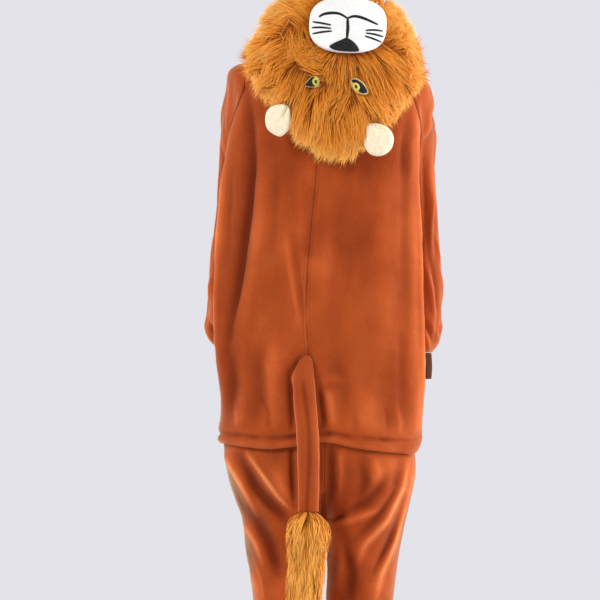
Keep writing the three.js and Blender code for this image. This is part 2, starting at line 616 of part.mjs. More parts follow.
// The nose: a flat rounded triangle on the muzzle's dome
function makeNose() {
  const muzzle = PATCHES[0];
  const height = (x, z) => {
    const share = Math.min(0.98, Math.hypot((x - muzzle.x) / muzzle.wide, (z - muzzle.z) / muzzle.high));
    return muzzle.rise * (0.35 + 0.65 * Math.sqrt(1 - share * share));
  };
  const ring = (share, lift) => Array.from({ length: 15 }, (_, i) => {
    const angle = (i / 15) * 2 * Math.PI;
    const round = 1 - 0.16 * Math.cos(3 * (angle - Math.PI / 2));
    const x = NOSE.x + share * NOSE.wide * 0.55 * Math.cos(angle) * round;
    const z = NOSE.z + share * NOSE.high * 0.6 * Math.sin(angle) * round;
    const { turn, v } = hoodUnder(x, z);
    return hoodPoint(turn, v).addScaledVector(outward(hoodPoint, turn, v, 1), height(x, z) + lift);
  });
  const rings = [
    ...[0.2, 0.6, 1].map((share) => ring(share, -NOSE.sink)),
    ring(1, NOSE.thick * 0.6),
    ...[0.6, 0.2].map((share) => ring(share, NOSE.thick)),
  ];
  add('nose', seated(loft(rings), ['muzzle']), BLACK);
}

// The tail: a sewn tube, flattened from front to back
function makeTail() {
  const rings = steps(0, TAIL.length - 1, TAIL.length * 2).map((row) =>
    Array.from({ length: TAIL_SIDES }, (_, i) => {
      const angle = (-i / TAIL_SIDES) * 2 * Math.PI;
      return new THREE.Vector3(
        along(TAIL, 'x', row) + along(TAIL, 'wide', row) * Math.cos(angle),
        along(TAIL, 'y', row) + along(TAIL, 'deep', row) * Math.sin(angle),
        along(TAIL, 'z', row),
      );
    }));
  add('tail', seated(loft(rings), ['back_left', 'back_right']), FLEECE);
}

// One lock of the tuft: a tapering strand of four sides that leaves the head and hangs
function lock(ring, index) {
  const angle = ((index / ring.count) * 360 + ring.start) * DEG;
  const out = new THREE.Vector3(Math.cos(angle), Math.sin(angle) * 0.8, 0);
  const across = new THREE.Vector3(-Math.sin(angle), Math.cos(angle), 0);
  const length = ring.length * (0.86 + 0.14 * Math.sin(index * 2.4));
  const rings = steps(0, 1, LOCK_STEPS).map((t) => {
    const reach = mix(ring.root - 8, ring.flare, ease(t * 2.2)) - ring.flare * 0.28 * t * t;
    const middle = new THREE.Vector3(TUFT.x, TUFT.y, TUFT.z - ring.drop - t * length).addScaledVector(out, reach);
    const half = (ring.width / 2) * (1 - t) ** 0.55 + 0.5;
    const deep = half * 0.62;
    return [[1, 1], [-1, 1], [-1, -1], [1, -1]].map(([a, b]) =>
      middle.clone().addScaledVector(across, a * half).addScaledVector(out, b * deep));
  });
  return loft(rings);
}

function makeTuft() {
  const head = new THREE.SphereGeometry(1, 12, 8);
  head.scale(TUFT.head, TUFT.head * 0.85, TUFT.headDrop / 2);
  head.translate(TUFT.x, TUFT.y, TUFT.z - TUFT.headDrop / 2);
  head.deleteAttribute('normal');
  head.deleteAttribute('uv');
  let tuft = solidOf(head);
  for (const ring of LOCK_RINGS) {
    for (let i = 0; i < ring.count; i += 1) tuft = tuft.add(solidOf(lock(ring, i)));
  }
  add('tail_tuft', geometryOf(largest(tuft)), MANE);
}

// The placket lies over the centre front seam, and the buttons lie on it
function makeFrontClosing() {
  const lifted = (off) => (x, row) => {
    const angle = 180 - (x / along(BODY, 'front', row)) / DEG;
    const turn = angle > 180 ? angle - 360 : angle;
    const point = body(turn, row);
    point.y += off;
    return point;
  };
  const placket = wall({
    surface: lifted(PLACKET.thick),
    us: steps(-PLACKET.half, PLACKET.half, 2),
    vs: steps(PLACKET.fromRow, PLACKET.toRow, PLACKET.rows),
    thick: () => PLACKET.thick + PLACKET.sink,
    sign: -1,
  });
  add('placket', seated(placket, ['front_left', 'front_right']), FLEECE);
  steps(BUTTONS.bottomRow, BUTTONS.topRow, BUTTONS.count - 1).forEach((row, i) => {
    const over = lifted(SEAM * 2 + PLACKET.thick);
    const seat = over(0, row);
    const slope = over(0, row + 0.2).sub(over(0, row - 0.2));
    const button = new THREE.CylinderGeometry(BUTTONS.radius, BUTTONS.radius, BUTTONS.thick, 16);
    button.translate(0, BUTTONS.thick / 2, 0);
    button.rotateX(-Math.atan2(slope.y, slope.z));
    button.translate(seat.x, seat.y, seat.z);
    add(`button_${i + 1}`, button, BUTTON);
  });
}

makePanels();
makeSleeves();
makeLegs();
makeCuffs();
makeHood();
makePatches();
makeNose();
makeTail();
makeTuft();
makeFrontClosing();

export default onesie;
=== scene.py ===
# Lion onesie: the looks of its cloth, mane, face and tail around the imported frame.
# Shapes are worked out in millimetres, as the frame's are, and written in metres.
import math

import bpy
import numpy as np
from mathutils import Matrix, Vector


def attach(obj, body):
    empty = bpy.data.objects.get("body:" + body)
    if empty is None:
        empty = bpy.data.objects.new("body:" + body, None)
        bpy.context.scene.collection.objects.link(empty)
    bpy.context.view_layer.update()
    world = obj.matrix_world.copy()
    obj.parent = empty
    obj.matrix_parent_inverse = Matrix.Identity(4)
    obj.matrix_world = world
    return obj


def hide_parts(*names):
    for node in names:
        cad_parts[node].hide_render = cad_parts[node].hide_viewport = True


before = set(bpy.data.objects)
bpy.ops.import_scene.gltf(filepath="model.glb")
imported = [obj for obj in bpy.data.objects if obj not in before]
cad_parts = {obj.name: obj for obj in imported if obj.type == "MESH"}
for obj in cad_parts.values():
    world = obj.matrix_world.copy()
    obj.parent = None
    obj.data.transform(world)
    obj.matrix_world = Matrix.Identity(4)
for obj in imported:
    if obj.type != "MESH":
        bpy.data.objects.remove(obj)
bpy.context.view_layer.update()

# Measures, in millimetres

MM = 0.001
PX = 1.95  # millimetres for each pixel of the photograph
PX_ORIGIN = (324.0, 70.0)  # the pixel that the frame's origin is seen at
CLOTH = 2.2  # the shell's thickness
SEAM = 0.5  # clear gap at a seam
SQUARENESS = 2.4  # of the body's sections: 2 is an ellipse
SIDES = (("left", -1), ("right", 1))
FOLD_SHADE_SOFTNESS = 8.5  # how many millimetres of relief the painted fold shade and highlight take to level off
LEG_SHADE_BOOST = 1.55  # the legs' relief shows this much more in their painted fold shade and highlight
SLEEVE_ROWS, LEG_ROWS = 6, 13
MANE_STRANDS, MANE_CLUMPS = 19500, 240  # on each half
TUFT_STRANDS, TUFT_CLUMPS = 14500, 260
TUFT_CORE_RINGS, TUFT_CORE_SIDES = 14, 24
STITCH_SIDES = 6
rng = np.random.default_rng(11)


def at_px(*points):
    """Places across and up in millimetres from pixels of the photograph."""
    return [((x - PX_ORIGIN[0]) * PX, (PX_ORIGIN[1] - y) * PX) for x, y in points]


FRAME_SIDE = 600 * PX  # the photograph's frame at the plane that its pixels are measured on
PLANE_Y = -40.0  # how far that plane lies from the origin
CAMERA_AWAY = 14000.0
(CAMERA_X, CAMERA_Z), = at_px((300, 300))


def seen(points):
    """Where the camera sees points, across and up on the pixels' plane."""
    nearer = (CAMERA_AWAY + PLANE_Y) / (CAMERA_AWAY + points[..., 1])
    across = CAMERA_X + (points[..., 0] - CAMERA_X) * nearer
    up = CAMERA_Z + (points[..., 2] - CAMERA_Z) * nearer
    return across, up


def table(columns, rows):
    """Rows of numbers as one array for each named column."""
    values = np.array(rows, dtype=float)
    return {name: values[:, i] for i, name in enumerate(columns.split())}


# Body sections from the hem up to the neck, the same as the frame's
BODY = table("z left right back front flank seam", [
    (-728, 203, 184, 126, 120, 203, -28), (-712, 209, 190, 135, 127, 207, -30),
    (-690, 206, 190, 131, 124, 202, -31), (-644, 224, 208, 134, 124, 184, -32),
    (-590, 247, 223, 138, 122, 150, -31), (-546, 255, 225, 140, 120, 136, -31),
    (-466, 260, 224, 142, 118, 134, -35), (-359, 246, 218, 140, 114, 130, -30),
    (-281, 236, 213, 137, 112, 128, -23), (-203, 226, 208, 133, 112, 136, -15),
    (-117, 205, 214, 127, 110, 168, -8), (-47, 181, 202, 118, 104, 178, -4),
    (-8, 170, 194, 108, 96, 176, 0), (14, 152, 172, 97, 88, 158, 3),
    (30, 124, 140, 86, 80, 128, 5), (42, 98, 112, 77, 73, 102, 6), (50, 76, 88, 70, 68, 82, 6),
])
NECK_ROW = 16
FRONT_NECK_DROP = 1.3
FLANK_RIGHT = 0.93
FLANK_BLEND = (62, 98)
SIDE_SEAM = 98
SHOULDER_SEAM = 90
ARMHOLE_ROW, ARMHOLE_HALF, ARMHOLE_OPEN = 10.95, 2.05, 27
HEM = table("x drop", [(-205, 0), (-110, 10), (-60, 5), (0, -4), (60, 8), (120, 16), (190, 22)])
HEM_ROWS = 4
RIGHT_FULL = 5  # the bloused cloth is this much fuller at its lower right

SLEEVE = table("z left right half y deep", [
    (-262, 210, 225, 36, 58, 50), (-310, 214, 226, 37, 64, 50), (-374, 218, 229, 39, 72, 50),
    (-435, 225, 231, 42, 80, 50), (-490, 231, 231, 44, 88, 49), (-520, 230, 226, 43, 92, 46),
    (-536, 219, 213, 33, 94, 36),
])
SLEEVE_DROP = {"left": 0, "right": 16}
SLEEVE_SPREAD = (30, 120)
SLEEVE_FALL = (60, 300)

LEG = table("z left right innerLeft innerRight back front parted", [
    (-694, 200, 184, 0, 0, 124, 118, 0), (-714, 198, 181, 0, 0, 122, 115, 0),
    (-735, 195, 177, 0, 0, 117, 112, 0), (-770, 192, 179, 0, 0, 122, 113, 0),
    (-805, 185, 176, 0, 0, 122, 112, 0.08), (-840, 174, 169, 0, 0, 118, 110, 0.42),
    (-880, 159, 160, -0.2, 0.2, 110, 104, 1), (-930, 155, 150, -5, 4.6, 98, 94, 1),
    (-985, 144, 141, -10, 6, 88, 84, 1), (-1034, 138, 135, -11, 4, 82, 78, 1),
    (-1100, 135, 131, -13, 8, 78, 74, 1), (-1170, 132, 128, -16, 12, 76, 72, 1),
    (-1220, 130, 126, -18, 15, 74, 70, 1), (-1240, 118, 114, -30, 26, 58, 54, 1),
])

CUFFS = [
    ("cuff_left", -182, 94, 27.5, 34, -536.5, -588),
    ("cuff_right", 181, 94, 31, 34, -552.5, -604),
    ("ankle_left", -74, -2, 42, 53, -1240.5, -1294),
    ("ankle_right", 70, -2, 42, 53, -1240.5, -1294),
]

HOOD = table("turn row fold reach reachZ rim rimZ", [
    (-165, 15.2, 4, 92, 60, 84, 84), (-125, 14.8, 12, 114, 62, 104, 92),
    (-92, 13.9, 14, 163, 50, 138, 98), (-62, 11.7, 20, 202, 18, 172, 106),
    (-38, 10.2, 34, 206, -30, 178, 122), (-12, 9.55, 46, 205, -55, 160, 150),
    (14, 9.45, 46, 205, -55, 160, 152), (38, 9.7, 36, 208, -30, 178, 128),
    (62, 11.1, 20, 212, 18, 184, 100), (92, 13.9, 14, 176, 48, 150, 92),
    (125, 14.8, 12, 120, 62, 108, 92), (165, 15.2, 4, 94, 60, 86, 84),
])
HOOD_CLEAR = 12
HOOD_RAISE = 0.7
HOOD_TURN = 165
HOOD_SEAM_TURN = 2
SKIN_DEPTH = 13  # the mane's backing lies this far under the tips of its pile

TAIL = table("x y z wide deep", [
    (-32, -142, -556, 8, 9), (-38, -150, -580, 17, 12), (-39, -158, -620, 22, 13),
    (-34, -160, -680, 22, 14), (-31, -162, -740, 22, 14), (-30, -163, -800, 21, 14),
    (-31, -164, -858, 20, 14),
])
TUFT = (-31, -164, -858)

# Folds of the back, as they run in the photograph: width, rise, and pixels along the fold. Their rise also
# paints shade into the troughs and a highlight onto the ridges.
BACK_CREASES = [
    (8, -8, [(247, 88), (251, 134), (251, 171), (248.5, 199), (243.5, 236), (236, 291), (230, 322),
             (226, 352)]),
    (22, -6, [(250, 100), (250, 160), (247, 198), (242, 246), (236, 290), (230, 330)]),
    (14, 5, [(262, 130), (260, 200), (256, 246), (248, 290), (241, 340)]),
    (7, 4, [(286, 233), (291, 270), (296, 301), (302, 333)]),
    (7, -3.5, [(292, 236), (297, 270), (301, 301), (305, 330)]),
    (10, -5, [(231, 352), (232, 380), (229, 426)]), (9, 4, [(243, 345), (245, 385), (241, 428)]),
    (12, -4, [(258, 350), (260, 385), (256, 420)]), (16, 5, [(274, 340), (275, 380), (272, 424)]),
    (4.5, -9, [(289.5, 372), (290.5, 400), (292, 436)]), (5, -4, [(302.5, 353), (296, 364), (290, 376)]),
    (6, -6, [(317, 386), (319.5, 400), (322, 418), (321, 436)]), (9, 4, [(325, 384), (330, 402), (333, 428)]),
    (8, -2.5, [(322, 388), (331, 386), (343, 388)]), (8, 2.5, [(322, 380), (334, 378), (350, 381)]),
    (14, -3, [(336, 360), (346, 385), (345, 420)]), (18, 2, [(360, 380), (366, 405), (364, 432)]),
    (12, 4, [(413, 150), (412, 210), (413, 290), (411, 380), (413, 428)]),
    (9, -2.5, [(404, 150), (402, 220), (404, 300)]), (8, -2.5, [(399, 330), (402, 380), (403, 430)]),
    (20, 2, [(385, 170), (382, 260), (386, 350)]), (14, -0.8, [(368, 200), (362, 260), (370, 330)]),
    (7, -3, [(410, 108), (404, 140), (402, 175)]), (6, 3, [(417, 118), (411, 150), (409, 180)]),
    (12, 2.2, [(330, 205), (327, 260), (322, 320)]), (14, -0.8, [(346, 190), (341, 250), (333, 300)]),
    (8, 3, [(226, 150), (222, 200), (219, 262)]), (7, -4, [(232, 160), (229, 210), (226, 262)]),
    (10, -3, [(276, 168), (274, 215), (270, 262)]), (9, 2.5, [(300, 180), (301, 215), (299, 250)]),
    (6, -3, [(262, 398), (270, 412), (270, 430)]), (6, -3, [(352, 408), (356, 424), (354, 436)]),
    (6, -3, [(384, 404), (388, 420), (386, 436)]), (6, 3, [(394, 400), (398, 424), (396, 440)]),
    (6, 2.5, [(236, 404), (240, 418), (238, 432)]), (26, 3, [(300, 262), (318, 268), (344, 262)]),
    (3.6, 6.5, [(228, 118), (224.5, 175), (220.5, 230), (216.8, 290), (216.4, 345)]),
    (3.6, 6.5, [(416.5, 130), (417.4, 210), (419, 260), (421, 330), (421, 385), (419.4, 428)]),
    (9, 5, [(418, 340), (417, 390), (415, 436)]), (4, 4, [(303, 280), (305.5, 310), (306.5, 345)]),
]
FRONT_CREASES = [
    (22, -6, [(288, 152), (290, 260), (293, 336)]), (22, -6, [(362, 172), (360, 260), (354, 357)]),
    (14, 4, [(272, 111), (280, 160), (288, 203)]), (14, 4, [(377, 116), (368, 160), (360, 213)]),
    (13, 3.5, [(303, 224), (290, 300), (278, 388)]), (13, 3.5, [(344, 234), (360, 310), (373, 398)]),
    (10, -5, [(268, 357), (280, 390), (293, 424)]), (10, -5, [(380, 367), (366, 396), (358, 424)]),
    (8, -3, [(312, 100), (309, 160), (306, 224)]), (8, -3, [(337, 172), (340, 230), (339, 285)]),
    (9, -4, [(262, 285), (268, 320), (272, 357)]), (9, -4, [(388, 290), (380, 330), (376, 370)]),
    (7, -3, [(300, 400), (304, 420), (302, 440)]), (7, 3, [(345, 398), (350, 420), (348, 440)]),
]
# Folds of the legs' backs and, next, their fronts: width, rise, and pixels along the fold. Their rise also
# paints shade into the troughs and a highlight onto the ridges.
LEG_BACK_CREASES = [
    (3, 3.5, [(224.5, 455), (233, 470), (242.8, 486), (257.5, 514)]),
    (2.8, 4, [(247.7, 454), (261.7, 472), (278.5, 495.7), (289.8, 508)]),
    (3, 3.5, [(242, 521), (256, 542), (263, 562)]), (3, 3, [(255, 560), (262, 580), (265, 604)]),
    (3.5, 3, [(407.6, 462), (402, 487), (386.5, 519.5), (365.5, 543)]),
    (3.5, 3, [(414.6, 468), (406, 501), (393.5, 543), (380, 575)]),
    (6, 6, [(224.5, 455), (233, 470), (242.8, 486), (257.5, 514)]),
    (9, -7, [(225, 466), (230, 482), (238, 498), (247, 516)]),
    (5, 7, [(247.7, 452), (261.7, 472), (278.5, 495.7), (289.8, 508)]),
    (10, -12, [(240, 456), (254, 482), (266, 498), (288, 520)]),
    (7, 5, [(242, 519), (256, 542), (263, 560)]), (11, -9, [(250, 508), (268, 537), (278, 572)]),
    (8, -5, [(240, 532), (248, 552), (254, 575)]), (9, 5, [(250, 566), (258, 590), (262, 618)]),
    (10, 4, [(276, 470), (283, 488), (287, 500)]), (5, -9, [(291, 444), (292, 472), (293.5, 506)]),
    (12, -7, [(326, 447), (327, 475), (328, 505)]), (8, 4, [(340, 450), (341, 475), (337, 505)]),
    (7, 6, [(407.6, 460), (402, 487), (386.5, 519.5), (365.5, 543), (357, 562)]),
    (9, -6, [(399, 466), (393, 492), (376, 517), (355, 540)]),
    (7, 6, [(414.6, 464), (406, 501), (393.5, 543), (380, 575), (373, 604)]),
    (8, -6, [(409, 488), (399, 517), (384, 550), (371, 578)]),
    (8, 5, [(393.5, 488), (376, 510), (350, 520), (334, 521)]),
    (5, -7, [(327, 519), (334, 520), (345, 513)]), (9, -5, [(386, 478), (366, 502), (346, 510)]),
    (10, -5, [(345, 540), (352, 570), (350, 604)]), (8, 4, [(338, 535), (341, 560), (338, 595)]),
    (9, -5, [(362, 462), (366, 480), (360, 496)]), (9, 4, [(372, 456), (377, 472), (372, 488)]),
    (12, 5, [(262, 620), (270, 650), (268, 690)]), (12, -5, [(276, 612), (284, 650), (282, 684)]),
    (12, 5, [(376, 618), (368, 650), (372, 690)]), (12, -5, [(362, 612), (354, 650), (358, 684)]),
    (7, -4, [(258, 680), (275, 690), (300, 686)]), (7, 4, [(258, 690), (276, 701), (300, 696)]),
    (7, -4, [(346, 686), (368, 692), (386, 682)]), (7, 4, [(346, 697), (368, 703), (386, 692)]),
]
LEG_FRONT_CREASES = [
    (18, 5, [(257, 480), (272, 515), (288, 552)]), (18, 5, [(391, 480), (374, 515), (360, 552)]),
    (9, -5, [(308, 470), (294, 490), (278, 511)]), (9, -5, [(340, 470), (354, 490), (370, 511)]),
    (9, 4, [(300, 462), (282, 484), (262, 500)]), (9, 4, [(348, 462), (366, 484), (386, 500)]),
    (12, 4, [(268, 562), (282, 590), (292, 613)]), (12, 4, [(380, 562), (366, 590), (356, 613)]),
    (10, -4, [(278, 624), (286, 660), (292, 686)]), (10, -4, [(368, 624), (360, 660), (356, 686)]),
    (7, -4, [(256, 684), (272, 692), (296, 688)]), (7, 4, [(256, 694), (272, 702), (296, 698)]),
    (7, -4, [(350, 688), (370, 693), (388, 684)]), (7, 4, [(350, 698), (370, 704), (388, 694)]),
]
HEM_GROOVE = {"row": 1.15, "width": 0.27, "depth": 6.0}


def ease(t):
    t = np.clip(t, 0, 1)
    return t * t * (3 - 2 * t)


def mix(a, b, t):
    return a + (b - a) * t


def bell(value, middle, width):
    return np.exp(-(((value - middle) / width) ** 2))


def unit(vectors, least=1e-6):
    return vectors / np.maximum(np.linalg.norm(vectors, axis=-1, keepdims=True), least)


def turns_round(count):
    """Angles of points spaced evenly round a ring."""
    return np.linspace(0, 2 * np.pi, count + 1)[:-1]


def squared_off(wave, power):
    """A sine or cosine pushed towards a squarer or rounder section."""
    return np.sign(wave) * np.abs(wave) ** power


def through(a, b, c, d, t):
    """A smooth curve from b to c that leaves and arrives along its neighbours a and d."""
    return b + 0.5 * t * (c - a + t * (2 * a - 5 * b + 4 * c - d + t * (3 * (b - c) + d - a)))


def beside(x, z, start, end):
    """How far along a segment each place lies, and its distance from it."""
    (x1, z1), (x2, z2) = start, end
    dx, dz = x2 - x1, z2 - z1
    share = np.clip(((x - x1) * dx + (z - z1) * dz) / (dx * dx + dz * dz), 0, 1)
    return share, np.hypot(x - x1 - dx * share, z - z1 - dz * share)


def along(rows, column, s):
    """A table's column as a smooth curve over its rows."""
    values = rows[column]
    last = len(values) - 1
    s = np.asarray(s, dtype=float)
    i = np.clip(np.floor(s).astype(int), 0, last - 1)
    t = s - i
    return through(*(values[np.clip(i + k, 0, last)] for k in (-1, 0, 1, 2)), t)


def row_at(rows, column, value):
    """The row number at which a rising column reaches a value."""
    return np.interp(value, rows[column], np.arange(len(rows[column])))


def section(angle, across, deep):
    """How far a rounded square section reaches at an angle."""
    n = SQUARENESS
    return ((np.abs(np.sin(angle)) / across) ** n + (np.abs(np.cos(angle)) / deep) ** n) ** (-1 / n)


def crease_rise(creases, x, z):
    """How far the creases move a point out: soft ridges and troughs that fade towards both ends."""
    rise = np.zeros_like(x)
    for width, height, pixels in creases:
        line = at_px(*pixels)
        nearest = np.full_like(x, 1e9)
        place = np.zeros_like(x)
        for k, (start, end) in enumerate(zip(line, line[1:])):
            share, away = beside(x, z, start, end)
            place = np.where(away < nearest, (k + share) / (len(line) - 1), place)
            nearest = np.minimum(nearest, away)
        fade = np.sqrt(np.sin(np.pi * np.clip(place, 0.03, 0.97)))
        rise += height * fade * bell(nearest, 0, width)
    return rise


def ripple(x, y, z, seed):
    """Small uneven undulation of soft cloth, in millimetres."""
    a = np.sin(x * 0.031 + z * 0.011 + seed) * np.sin(z * 0.017 - x * 0.008 + seed * 2.1)
    b = np.sin(x * 0.071 - z * 0.023 + seed * 3.3) * np.sin(z * 0.041 + y * 0.05 + seed)
    c = np.sin(x * 0.13 + z * 0.06 + seed * 5.1) * np.sin(z * 0.09 - x * 0.05 + seed * 1.7)
    return 1.3 * a + 0.8 * b + 0.35 * c


def body_form(turn, row, fine=1.0):
    """A point on the body and how far its folds lift it: degrees from the back, and a row number."""
    turn, row = np.broadcast_arrays(np.asarray(turn, float), np.asarray(row, float))
    angle = np.radians(turn)
    full = RIGHT_FULL * ease((4 - row) / 2) * (fine > 0)
    side = np.where(turn > 0, along(BODY, "right", row) + full, along(BODY, "left", row))
    behind = section(angle, side, along(BODY, "back", row))
    flank = along(BODY, "flank", row) * np.where(turn > 0, FLANK_RIGHT, 1)
    ahead = section(angle, flank, along(BODY, "front", row))
    low, high = FLANK_BLEND
    reach = mix(behind, ahead, ease((np.abs(turn) - low) / (high - low)))
    x, y, z = reach * np.sin(angle), -reach * np.cos(angle), along(BODY, "z", row)
    drop = along(HEM, "drop", row_at(HEM, "x", x)) * np.clip(1 - row / HEM_ROWS, 0, 1)
    z = z - np.where(y < 0, drop * ease(-1.8 * y / along(BODY, "back", row)), 0)
    back_share = ease(0.5 - y / 60)
    out = np.zeros_like(x)
    if fine > 0:
        lower = ease((row - 1.35) / 0.9)
        out = crease_rise(BACK_CREASES, x, z) * back_share
        out = out + crease_rise(FRONT_CREASES, x, z) * (1 - back_share)
        out = (out + ripple(x, y, z, 0.7)) * lower * fine
        uneven = 0.75 + 0.35 * np.sin(x * 0.05 + 1.3) * np.sin(x * 0.021) + 0.15 * np.sin(x * 0.17)
        groove = bell(row, HEM_GROOVE["row"], HEM_GROOVE["width"])
        flat = 1 - 0.75 * ease((x - 110) / 60)
        out = out - HEM_GROOVE["depth"] * uneven * groove * flat
        roll = 3.0 + 1.2 * np.sin(x * 0.11) * np.sin(x * 0.043 + 2)
        out = out + roll * flat * bell(row, 0.35, 0.45)
        out = out + 1.5 * bell(row, 2.2, 0.6)
        seam = along(BODY, "seam", row)
        out = out - 1.7 * bell(x, seam, 3.2) * back_share * (1 + 0.5 * np.sin(z * 0.12))
    points = np.stack([x + np.sin(angle) * out, y - np.cos(angle) * out, z], -1)
    return points, out


def body(turn, row, fine=1.0):
    return body_form(turn, row, fine)[0]


def neck_row(turn):
    return NECK_ROW - FRONT_NECK_DROP * ease((np.abs(turn) - 70) / 110)


def seam_turn(row):
    return np.degrees(np.arctan2(along(BODY, "seam", row), along(BODY, "back", row)))


def side_turn(row):
    low = ARMHOLE_ROW - ARMHOLE_HALF
    return mix(SIDE_SEAM, SHOULDER_SEAM, np.clip((row - low) / (2 * ARMHOLE_HALF), 0, 1))


def armhole_open(row):
    part = np.clip((row - ARMHOLE_ROW) / ARMHOLE_HALF, -1, 1)
    return ARMHOLE_OPEN * np.sqrt(1 - part * part)


def normals_of(grid, sign, closed=False):
    """The way out at each point of a grid, from its own slopes."""
    if closed:
        wide = np.concatenate([grid[-1:], grid, grid[:1]], 0)
        across = wide[2:] - wide[:-2]
    else:
        across = np.gradient(grid, axis=0)
    up = np.gradient(grid, axis=1)
    return unit(np.cross(across, up) * sign, 1e-9)


def new_mesh(name, points, faces, material, uvs=None):
    """A smooth piece that rides on the body, from arrays in millimetres."""
    mesh = bpy.data.meshes.new(name)
    mesh.from_pydata((points * MM).tolist(), [], faces)
    mesh.polygons.foreach_set("use_smooth", [True] * len(mesh.polygons))
    if uvs is not None:
        layer = mesh.uv_layers.new(name="UVMap")
        loops = np.empty(len(mesh.loops), dtype=np.int32)
        mesh.loops.foreach_get("vertex_index", loops)
        layer.data.foreach_set("uv", uvs[loops].astype(np.float32).ravel())
    mesh.materials.append(material)
    mesh.update()
    piece = bpy.data.objects.new(name, mesh)
    bpy.context.scene.collection.objects.link(piece)
    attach(piece, "root")
    return piece


def shell(name, grid, sign, material, closed=False, thick=CLOTH, trim=SEAM / 2, relief=None):
    """A closed thin wall over a grid of points. Its edges round off into the seam gap."""
    grid = grid.copy()
    normal = normals_of(grid, sign, closed)

    def pull(edge, inside):
        return edge + unit(inside - edge) * trim

    if not closed:
        grid[0], grid[-1] = pull(grid[0], grid[1]), pull(grid[-1], grid[-2])
    grid[:, 0], grid[:, -1] = pull(grid[:, 0], grid[:, 1]), pull(grid[:, -1], grid[:, -2])
    inner = grid - normal * thick
    nu, nv = grid.shape[:2]
    points = np.concatenate([grid.reshape(-1, 3), inner.reshape(-1, 3)])
    spans = nu if closed else nu - 1
    i, j = np.meshgrid(np.arange(spans), np.arange(nv - 1), indexing="ij")
    a = (i * nv + j).ravel()
    b = (((i + 1) % nu) * nv + j).ravel()
    half = nu * nv
    top = np.stack([a, b, b + 1, a + 1], 1)
    under = np.stack([a + 1, b + 1, b, a], 1) + half
    i0 = np.arange(spans)
    e, f = i0 * nv, ((i0 + 1) % nu) * nv
    low = np.stack([e + half, f + half, f, e], 1)
    high = np.stack([e + nv - 1, f + nv - 1, f + nv - 1 + half, e + nv - 1 + half], 1)
    faces = [top, under, low, high]
    if not closed:
        j0 = np.arange(nv - 1)
        near, far = j0, (nu - 1) * nv + j0
        faces.append(np.stack([near + 1 + half, near + half, near, near + 1], 1))
        faces.append(np.stack([far + 1, far, far + half, far + half + 1], 1))
    faces = np.concatenate(faces)
    if sign < 0:
        faces = faces[:, ::-1]
    # The relief becomes painted shade in the troughs and a painted highlight on the ridges, carried in the
    # UV's Y to the fleece's colour.
    raised = np.zeros((nu, nv)) if relief is None else relief
    painted_fold_shade = 0.5 + 0.5 * np.tanh(raised / FOLD_SHADE_SOFTNESS)
    uu = np.broadcast_to(np.linspace(0, 1, nu)[:, None], (nu, nv))
    uvs = np.tile(np.stack([uu.ravel(), painted_fold_shade.ravel()], 1), (2, 1))
    return new_mesh(name, points, faces.tolist(), material, uvs)


def tube_faces(rings, sides, first=0):
    """Faces of a tube of rings with a flat cap at both ends, from the number of its first point."""
    faces = []
    for low in range(first, first + (rings - 1) * sides, sides):
        for i in range(sides):
            n = (i + 1) % sides
            faces.append([low + i, low + n, low + sides + n, low + sides + i])
    last = first + (rings - 1) * sides
    faces.append(list(range(first, first + sides))[::-1])
    faces.append(list(range(last, last + sides)))
    return faces


# Materials


def new_material(name, roughness=0.9, sheen=0.0, sheen_roughness=0.4, tint=(1, 1, 1), specular=0.2):
    material = bpy.data.materials.new(name)
    material.use_nodes = True
    shader = material.node_tree.nodes["Principled BSDF"]
    shader.inputs["Roughness"].default_value = roughness
    shader.inputs["Sheen Weight"].default_value = sheen
    shader.inputs["Sheen Roughness"].default_value = sheen_roughness
    shader.inputs["Sheen Tint"].default_value = (*tint, 1)
    shader.inputs["Specular IOR Level"].default_value = specular
    return material, shader


def add_node(material, kind, inputs=None, **values):
    node = material.node_tree.nodes.new(kind)
    for key, value in values.items():
        setattr(node, key, value)
    for key, value in (inputs or {}).items():
        node.inputs[key].default_value = value
    return node


def link(material, a, out, b, into):
    material.node_tree.links.new(a.outputs[out], b.inputs[into])


def colour_ramp(material, stops):
    ramp = add_node(material, "ShaderNodeValToRGB")
    elements = ramp.color_ramp.elements
    while len(elements) < len(stops):
        elements.new(0.5)
    for element, (place, colour) in zip(elements, stops):
        element.position = place
        element.color = (*colour, 1)
    return ramp


def uv_parts(material):
    """The two parts of a piece's UV places, as X and Y."""
    place = add_node(material, "ShaderNodeUVMap", uv_map="UVMap")
    split = add_node(material, "ShaderNodeSeparateXYZ")
    link(material, place, "UV", split, "Vector")
    return split


def noise(material, scale, detail=4, roughness=0.5, stretch=(1, 1, 1)):
    place = add_node(material, "ShaderNodeTexCoord")
    mapping = add_node(material, "ShaderNodeMapping", {"Scale": stretch})
    link(material, place, "Object", mapping, "Vector")
    values = {"Scale": scale, "Detail": detail, "Roughness": roughness}
    node = add_node(material, "ShaderNodeTexNoise", values)
    link(material, mapping, "Vector", node, "Vector")
    return node


def add_bump(material, shader, layers):
    """Bump from several noises, each with a strength and a depth in metres."""
    before = None
    for node, strength, depth in layers:
        bump = add_node(material, "ShaderNodeBump", {"Strength": strength, "Distance": depth})
        link(material, node, "Fac", bump, "Height")
        if before:
            link(material, before, "Normal", bump, "Normal")
        before = bump
    link(material, before, "Normal", shader, "Normal")


def tone(material, shader, pattern, stops):
    """Base colour from a pattern, dark to light."""
    ramp = colour_ramp(material, stops)
    link(material, pattern, "Fac", ramp, "Fac")
    link(material, ramp, "Color", shader, "Base Color")


